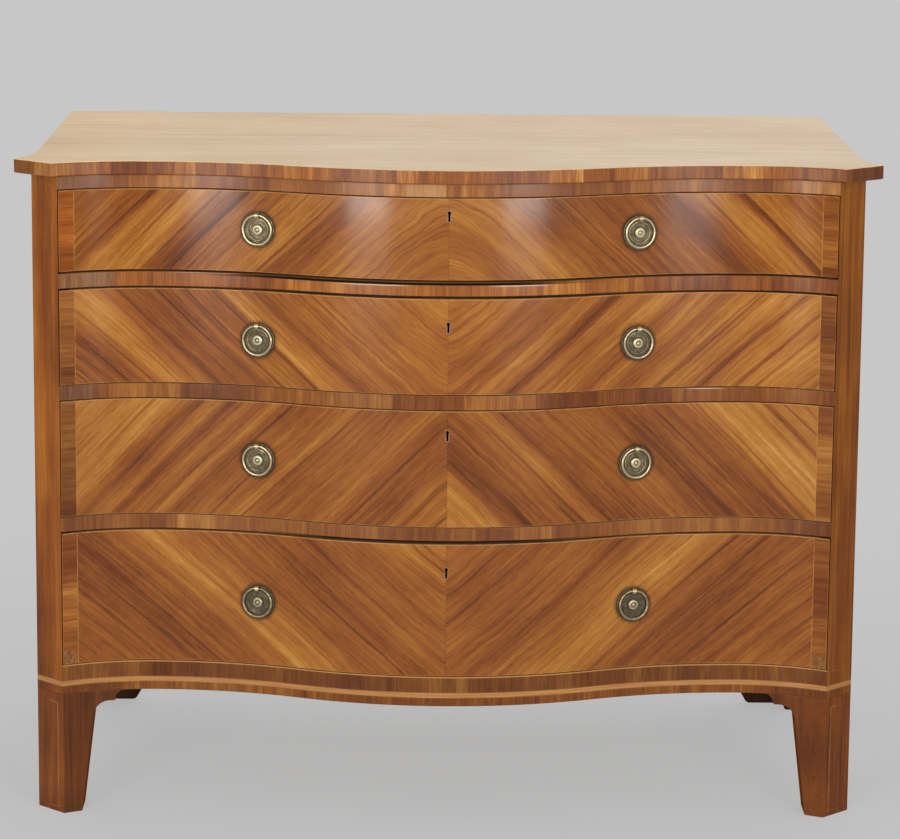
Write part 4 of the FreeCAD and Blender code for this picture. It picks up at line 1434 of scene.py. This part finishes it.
@dataclass
class Feet:
    """Canted bracket feet at the front and plain ones at the back."""

    ease: float = 0.0008
    wear: float = 0.0052
    bracket: float = 0.021

    def build(self, shop: Shop, finishes: Finishes) -> None:
        """Build and dress the four feet.

        Args:
            shop: makes the pieces.
            finishes: finishes of the chest.
        """
        materials = (finishes.foot, finishes.stained_and_shaded, finishes.sawn)
        behind = shop.chest.corner_y + self.bracket
        for hand, out in shop.HANDS.items():
            shop.eased(
                f"front_{hand}_foot", materials, "case", "foot_wood", self.ease,
                lambda face: self.wood(face, out, behind), toes=self.wear,
            )
            shop.eased(
                f"rear_{hand}_foot", materials[:2], "case", "foot_wood", self.ease, outward(out),
                toes=self.wear,
            )

    @staticmethod
    def wood(face: bmesh.types.BMFace, out: int, behind: float) -> Wood:
        """Choose the finish of a face of a front foot.

        Args:
            face: face of the foot.
            out: -1 for the left foot and 1 for the right one.
            behind: where the back of the bracket is.

        Returns:
            Veneer on the outside, sawn wood on the bracket's edge, and behind it wood with a dark stain and
            painted shade.
        """
        if Wood.SHOWN in (forward(face), outward(out)(face)):
            return Wood.SHOWN
        ahead = face.calc_center_median().y < behind
        return Wood.SAWN if ahead and face.normal.y < FACING else Wood.HIDDEN


@dataclass
class Pull:
    """Turned button in the middle of each pull plate."""

    radius: float = 0.0068
    crown: float = 0.0046
    tip: float = 0.0054
    steps: int = 28
    weld: float = 0.00001

    def profile(self) -> Pairs:
        """Draw the button's section.

        Returns:
            Radius and height of its points, from the rim to the tip.
        """
        return (
            (self.radius, 0.0012), (self.radius + 0.0002, 0.0026), (self.radius + 0.0001, 0.0032),
            (self.radius - 0.0003, 0.0037), (self.radius * 0.84, self.crown - 0.0002),
            (self.radius * 0.70, self.crown), (self.radius * 0.54, self.crown),
            (self.radius * 0.47, self.crown - 0.0005), (self.radius * 0.36, self.crown - 0.0005),
            (self.radius * 0.30, self.crown), (self.radius * 0.24, self.tip - 0.0004),
            (self.radius * 0.13, self.tip - 0.0001), (0.0, self.tip),
        )

    def turn(self, mesh: bmesh.types.BMesh, out: int, pull: PullPlace) -> None:
        """Spin one button and set it on its plate.

        Args:
            mesh: takes the button.
            out: -1 for the left pull and 1 for the right one.
            pull: place of the right pull.
        """
        points = [mesh.verts.new((radius, -rise, 0.0)) for radius, rise in self.profile()]
        lines = [mesh.edges.new(pair) for pair in zip(points, points[1:])]
        bmesh.ops.spin(
            mesh, geom=points + lines, cent=(0, 0, 0), axis=(0, 1, 0), angle=math.tau,
            steps=self.steps, use_merge=True,
        )
        fresh = [vert for vert in mesh.verts if not vert.tag]
        bmesh.ops.remove_doubles(mesh, verts=fresh, dist=self.weld)
        fresh = [vert for vert in mesh.verts if not vert.tag]
        turned = Matrix.Rotation(out * pull.turn, 4, "Z")
        place = Matrix.Translation((out * pull.x, pull.y, pull.z)) @ turned
        bmesh.ops.transform(mesh, matrix=place, verts=fresh)
        for vert in fresh:
            vert.tag = True


@dataclass
class Drawer:
    """One drawer: veneered front, oak lining, lock and two ring pulls."""

    number: int
    figure: Figure
    shine: float = 1.0
    ease: float = 0.0006
    lining_ease: float = 0.0008

    def build(self, shop: Shop, finishes: Finishes) -> None:
        """Build and dress the drawer.

        Args:
            shop: makes the pieces.
            finishes: finishes of the chest.
        """
        body = f"drawer_{self.number}"
        _, _, (low, high) = shop.box(f"{body}_front")
        pull = shop.pull_place(f"{body}_handle_plates")
        veneer = ChevronVeneer(
            shop.chest, f"front_veneer_{self.number}", self.number * 3.71, low, high, pull, self.figure,
        ).material()
        shop.eased(
            f"{body}_front", (veneer, finishes.softwood[GrainAxis.ACROSS]), body, "drawer_veneer",
            self.ease, forward, lambda edge: self.on_rim(edge, low, high, shop.chest.front_end),
        )
        shop.eased(f"{body}_sides", (finishes.oak_side,), body, "drawer_lining", self.lining_ease)
        shop.eased(f"{body}_back", (finishes.oak_across,), body, "drawer_lining", self.lining_ease)
        shop.dress(f"{body}_bottom", finishes.oak_across)
        self.build_pulls(shop, finishes, body, pull)
        shop.dress(f"{body}_lock", finishes.lock)
        shop.dress(f"{body}_lock_bolt", finishes.lock)

    @staticmethod
    def on_rim(edge: bmesh.types.BMEdge, low: float, high: float, end: float) -> bool:
        """Tell whether an edge lies on the outline of the front.

        Args:
            edge: edge of the front.
            low: height of the front's lower side.
            high: height of the front's upper side.
            end: distance of the front's ends from the middle.

        Returns:
            Whether the edge is on the outline.
        """
        near = 0.00005
        return (
            all(vert.co.z < low + near for vert in edge.verts)
            or all(vert.co.z > high - near for vert in edge.verts)
            or all(abs(vert.co.x) > end - near for vert in edge.verts)
        )

    def build_pulls(self, shop: Shop, finishes: Finishes, body: str, pull: PullPlace) -> None:
        """Dress the pulls and turn their buttons.

        Args:
            shop: makes the pieces.
            finishes: finishes of the chest.
            body: body of the drawer.
            pull: place of the right pull.
        """
        plate = PlateBrass(
            shop.chest, f"plate_brass_{self.number}", self.number * 1.9, bright=tone(180, 161, 124),
            dull=tone(78, 69, 49), wear=0.80 * self.shine, pull=pull,
        ).material()
        ring = Brass(
            shop.chest, f"ring_brass_{self.number}", self.number * 2.3, bright=tone(200, 184, 148),
            dull=tone(106, 88, 62), wear=0.70 * self.shine,
        ).material()
        boss = ButtonBrass(
            shop.chest, f"button_brass_{self.number}", self.number * 2.9, bright=tone(192, 180, 148),
            dull=tone(100, 86, 62), wear=0.92 * self.shine, gloss=0.12, pull=pull,
        ).material()
        shop.dress(f"{body}_handle_plates", plate)
        shop.dress(f"{body}_handle_bolts", finishes.bolt)
        mesh = bmesh.new()
        for hand, out in shop.HANDS.items():
            shop.dress(f"{body}_ring_{hand}", ring)
            Pull().turn(mesh, out, pull)
        bmesh.ops.recalc_face_normals(mesh, faces=mesh.faces)
        shop.finish(mesh, f"{body}_pull_buttons", (boss,), body, "aged_brass")


@dataclass
class Studio:
    """Camera, plain floor and soft lights."""

    yaw: float = 0.0099
    pitch: float = 0.1901
    roll: float = -0.0089
    focal: float = 3718.2144
    width: int = 900
    sensor: float = 36.0
    spot: Point = (-0.0413, -4.7749, 1.3783)
    grey: float = 0.571
    even_share: float = 0.72
    fade: Tuple[float, float] = (0.75, 1.9)
    room_light: float = 0.62
    floor_half: float = 60.0
    sight: float = 200.0

    def build(self) -> None:
        """Build the studio."""
        self.aim_camera()
        self.lay_floor()
        front = {"target": (0.0, -0.1, 0.60), "width": 0.85, "height": 1.5}
        self.light("key_panel", (-1.60, -3.5, 1.04), power=58.0, **front)
        self.light("fill_panel", (1.52, -3.5, 1.04), power=49.0, **front)
        self.light("back_panel", (0.6, 2.9, 2.9), (0.0, 0.2, 0.6), width=2.4, height=1.6, power=34.0)
        self.fill_world()
        bpy.context.scene.view_settings.view_transform = "Standard"

    def aim_camera(self) -> None:
        """Set the camera at the photographed angle."""
        data = bpy.data.cameras.new("photo_camera")
        data.sensor_fit = "HORIZONTAL"
        data.sensor_width = self.sensor
        data.lens = self.focal * self.sensor / self.width
        data.clip_end = self.sight
        camera = bpy.data.objects.new("photo_camera", data)
        bpy.context.scene.collection.objects.link(camera)
        ahead = Vector((
            math.sin(self.yaw) * math.cos(self.pitch), math.cos(self.yaw) * math.cos(self.pitch),
            -math.sin(self.pitch),
        ))
        right = Vector((math.cos(self.yaw), -math.sin(self.yaw), 0.0))
        down = ahead.cross(right)
        turned = right * math.cos(self.roll) + down * math.sin(self.roll)
        below = down * math.cos(self.roll) - right * math.sin(self.roll)
        pose = Matrix((turned, -below, -ahead)).transposed().to_4x4()
        camera.matrix_world = Matrix.Translation(self.spot) @ pose
        bpy.context.scene.camera = camera

    def plain(self) -> Colour:
        """Give the grey of the floor and the room."""
        return self.grey, self.grey, self.grey, 1.0

    def lay_floor(self) -> None:
        """Lay a floor that fades to an even grey away from the chest."""
        mesh = bmesh.new()
        bmesh.ops.create_grid(mesh, x_segments=2, y_segments=2, size=self.floor_half)
        data = bpy.data.meshes.new("floor")
        mesh.to_mesh(data)
        mesh.free()
        floor = bpy.data.objects.new("floor", data)
        bpy.context.scene.collection.objects.link(floor)
        graph = Graph(bpy.data.materials.new("pale_floor"))
        x, y, _ = graph.place()
        away = (x * x + y * y).math("SQRT")
        matt = graph.node("ShaderNodeBsdfDiffuse", None, {"Color": self.plain()})
        even = graph.node("ShaderNodeEmission", None, {"Color": self.plain(), "Strength": 1.0})
        share = graph.seen() * (self.even_share + away.rise(*self.fade) * (1 - self.even_share))
        mixed = graph.node("ShaderNodeMixShader", None, {0: share, 1: matt, 2: even})
        graph.node("ShaderNodeOutputMaterial", None, {0: mixed})
        data.materials.append(graph.owner)

    @staticmethod
    def light(
        name: str, spot: Point, target: Point, width: float, height: float, power: float,
    ) -> None:
        """Hang a soft light panel.

        Args:
            name: name of the panel.
            spot: where it hangs.
            target: the point that it faces.
            width: its width.
            height: its height.
            power: its power in watts.
        """
        data = bpy.data.lights.new(name, "AREA")
        data.shape = "RECTANGLE"
        data.size = width
        data.size_y = height
        data.energy = power
        panel = bpy.data.objects.new(name, data)
        bpy.context.scene.collection.objects.link(panel)
        panel.location = spot
        panel.rotation_euler = (Vector(target) - Vector(spot)).to_track_quat("-Z", "Y").to_euler()

    def fill_world(self) -> None:
        """Give an even light from all round, seen as the floor's grey."""
        graph = Graph(bpy.data.worlds.new("soft_room"))
        white = (1.0, 1.0, 1.0, 1.0)
        room = graph.node("ShaderNodeBackground", None, {"Color": white, "Strength": self.room_light})
        seen = graph.node("ShaderNodeBackground", None, {"Color": self.plain()})
        mixed = graph.node("ShaderNodeMixShader", None, {0: graph.seen(), 1: room, 2: seen})
        graph.node("ShaderNodeOutputWorld", None, {0: mixed})
        bpy.context.scene.world = graph.owner


DRAWERS = (
    Drawer(
        1,
        Figure(
            lean=Lean.PEAK, slant=45.0, rounding=0.034, swirl=0.016, glow=0.80, ends=(1.74, 1.10),
            left=(
                (-0.08, 0.56), (0.0, 0.54), (0.053, 0.50), (0.090, 0.60), (0.133, 0.50), (0.160, 0.40),
                (0.171, 0.24), (0.182, 0.56), (0.205, 0.66), (0.245, 0.53), (0.281, 0.45), (0.303, 0.25),
                (0.322, 0.30), (0.343, 0.64), (0.371, 0.74), (0.398, 0.62), (0.414, 0.30), (0.426, 0.34),
                (0.445, 0.50), (0.475, 0.40), (0.560, 0.50),
            ),
            right=(
                (-0.08, 0.60), (0.0, 0.56), (0.036, 0.42), (0.068, 0.60), (0.098, 0.62), (0.131, 0.44),
                (0.160, 0.33), (0.193, 0.44), (0.226, 0.28), (0.254, 0.38), (0.279, 0.42), (0.318, 0.18),
                (0.350, 0.44), (0.384, 0.66), (0.402, 0.52), (0.410, 0.12), (0.418, 0.50), (0.436, 0.62),
                (0.480, 0.46), (0.560, 0.46),
            ),
            crest=0.32,
        ),
    ),
    Drawer(
        2,
        Figure(
            lean=Lean.VALLEY, slant=42.0, rounding=0.008, swirl=0.012, glow=0.83, ends=(0.92, 0.98),
            left=(
                (-0.08, 0.62), (0.0, 0.56), (0.052, 0.60), (0.090, 0.46), (0.101, 0.68), (0.112, 0.48),
                (0.150, 0.42), (0.172, 0.30), (0.195, 0.58), (0.213, 0.68), (0.236, 0.40), (0.262, 0.48),
                (0.300, 0.34), (0.345, 0.28), (0.383, 0.62), (0.404, 0.76), (0.428, 0.62), (0.455, 0.34),
                (0.500, 0.40), (0.560, 0.46),
            ),
            right=(
                (-0.08, 0.56), (0.0, 0.62), (0.024, 0.58), (0.042, 0.38), (0.058, 0.42), (0.066, 0.58),
                (0.076, 0.36), (0.096, 0.44), (0.108, 0.62), (0.128, 0.52), (0.142, 0.14), (0.154, 0.48),
                (0.178, 0.56), (0.210, 0.62), (0.234, 0.36), (0.252, 0.66), (0.280, 0.46), (0.305, 0.60),
                (0.342, 0.68), (0.380, 0.46), (0.412, 0.68), (0.470, 0.62), (0.560, 0.50),
            ),
        ),
        shine=0.80,
    ),
    Drawer(
        3,
        Figure(
            lean=Lean.PEAK, slant=45.0, rounding=0.003, swirl=0.006, glow=0.78, ends=(0.75, 1.03),
            left=(
                (-0.08, 0.62), (-0.03, 0.54), (0.02, 0.40), (0.072, 0.40), (0.088, 0.62), (0.105, 0.48),
                (0.140, 0.40), (0.170, 0.46), (0.187, 0.64), (0.205, 0.50), (0.235, 0.48), (0.262, 0.30),
                (0.285, 0.54), (0.322, 0.46), (0.338, 0.24), (0.350, 0.50), (0.364, 0.58), (0.380, 0.24),
                (0.400, 0.54), (0.430, 0.71), (0.465, 0.62), (0.500, 0.68), (0.560, 0.60),
            ),
            right=(
                (-0.08, 0.76), (-0.012, 0.72), (0.010, 0.34), (0.030, 0.24), (0.058, 0.40), (0.095, 0.46),
                (0.113, 0.64), (0.134, 0.32), (0.170, 0.48), (0.225, 0.50), (0.284, 0.27), (0.314, 0.48),
                (0.350, 0.25), (0.376, 0.62), (0.420, 0.74), (0.465, 0.66), (0.560, 0.60),
            ),
        ),
        shine=0.88,
    ),
    Drawer(
        4,
        Figure(
            lean=Lean.VALLEY, slant=41.0, rounding=0.003, swirl=0.006, glow=0.79, ends=(1.22, 1.18),
            left=(
                (-0.10, 0.62), (-0.03, 0.56), (0.02, 0.44), (0.060, 0.47), (0.100, 0.40), (0.140, 0.35),
                (0.172, 0.42), (0.205, 0.46), (0.235, 0.62), (0.252, 0.58), (0.276, 0.76), (0.298, 0.56),
                (0.330, 0.42), (0.370, 0.31), (0.420, 0.36), (0.460, 0.44), (0.560, 0.40),
            ),
            right=(
                (-0.10, 0.54), (-0.03, 0.48), (0.03, 0.40), (0.070, 0.47), (0.110, 0.44), (0.124, 0.32),
                (0.150, 0.47), (0.180, 0.52), (0.212, 0.70), (0.236, 0.74), (0.262, 0.58), (0.290, 0.44),
                (0.316, 0.30), (0.350, 0.35), (0.400, 0.36), (0.450, 0.42), (0.560, 0.46),
            ),
            mended=0.018,
        ),
        shine=0.55,
    ),
)


def main() -> None:
    """Load the solids, dress the chest and set up the studio."""
    logging.basicConfig(level=logging.INFO, format="%(message)s")
    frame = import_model()
    shop = Shop(frame)
    finishes = Finishes(shop.chest)
    CaseWork().build(shop, finishes)
    BackNails().build(shop, finishes)
    Feet().build(shop, finishes)
    for drawer in DRAWERS:
        drawer.build(shop, finishes)
    Studio().build()


if __name__ == "__main__":
    main()
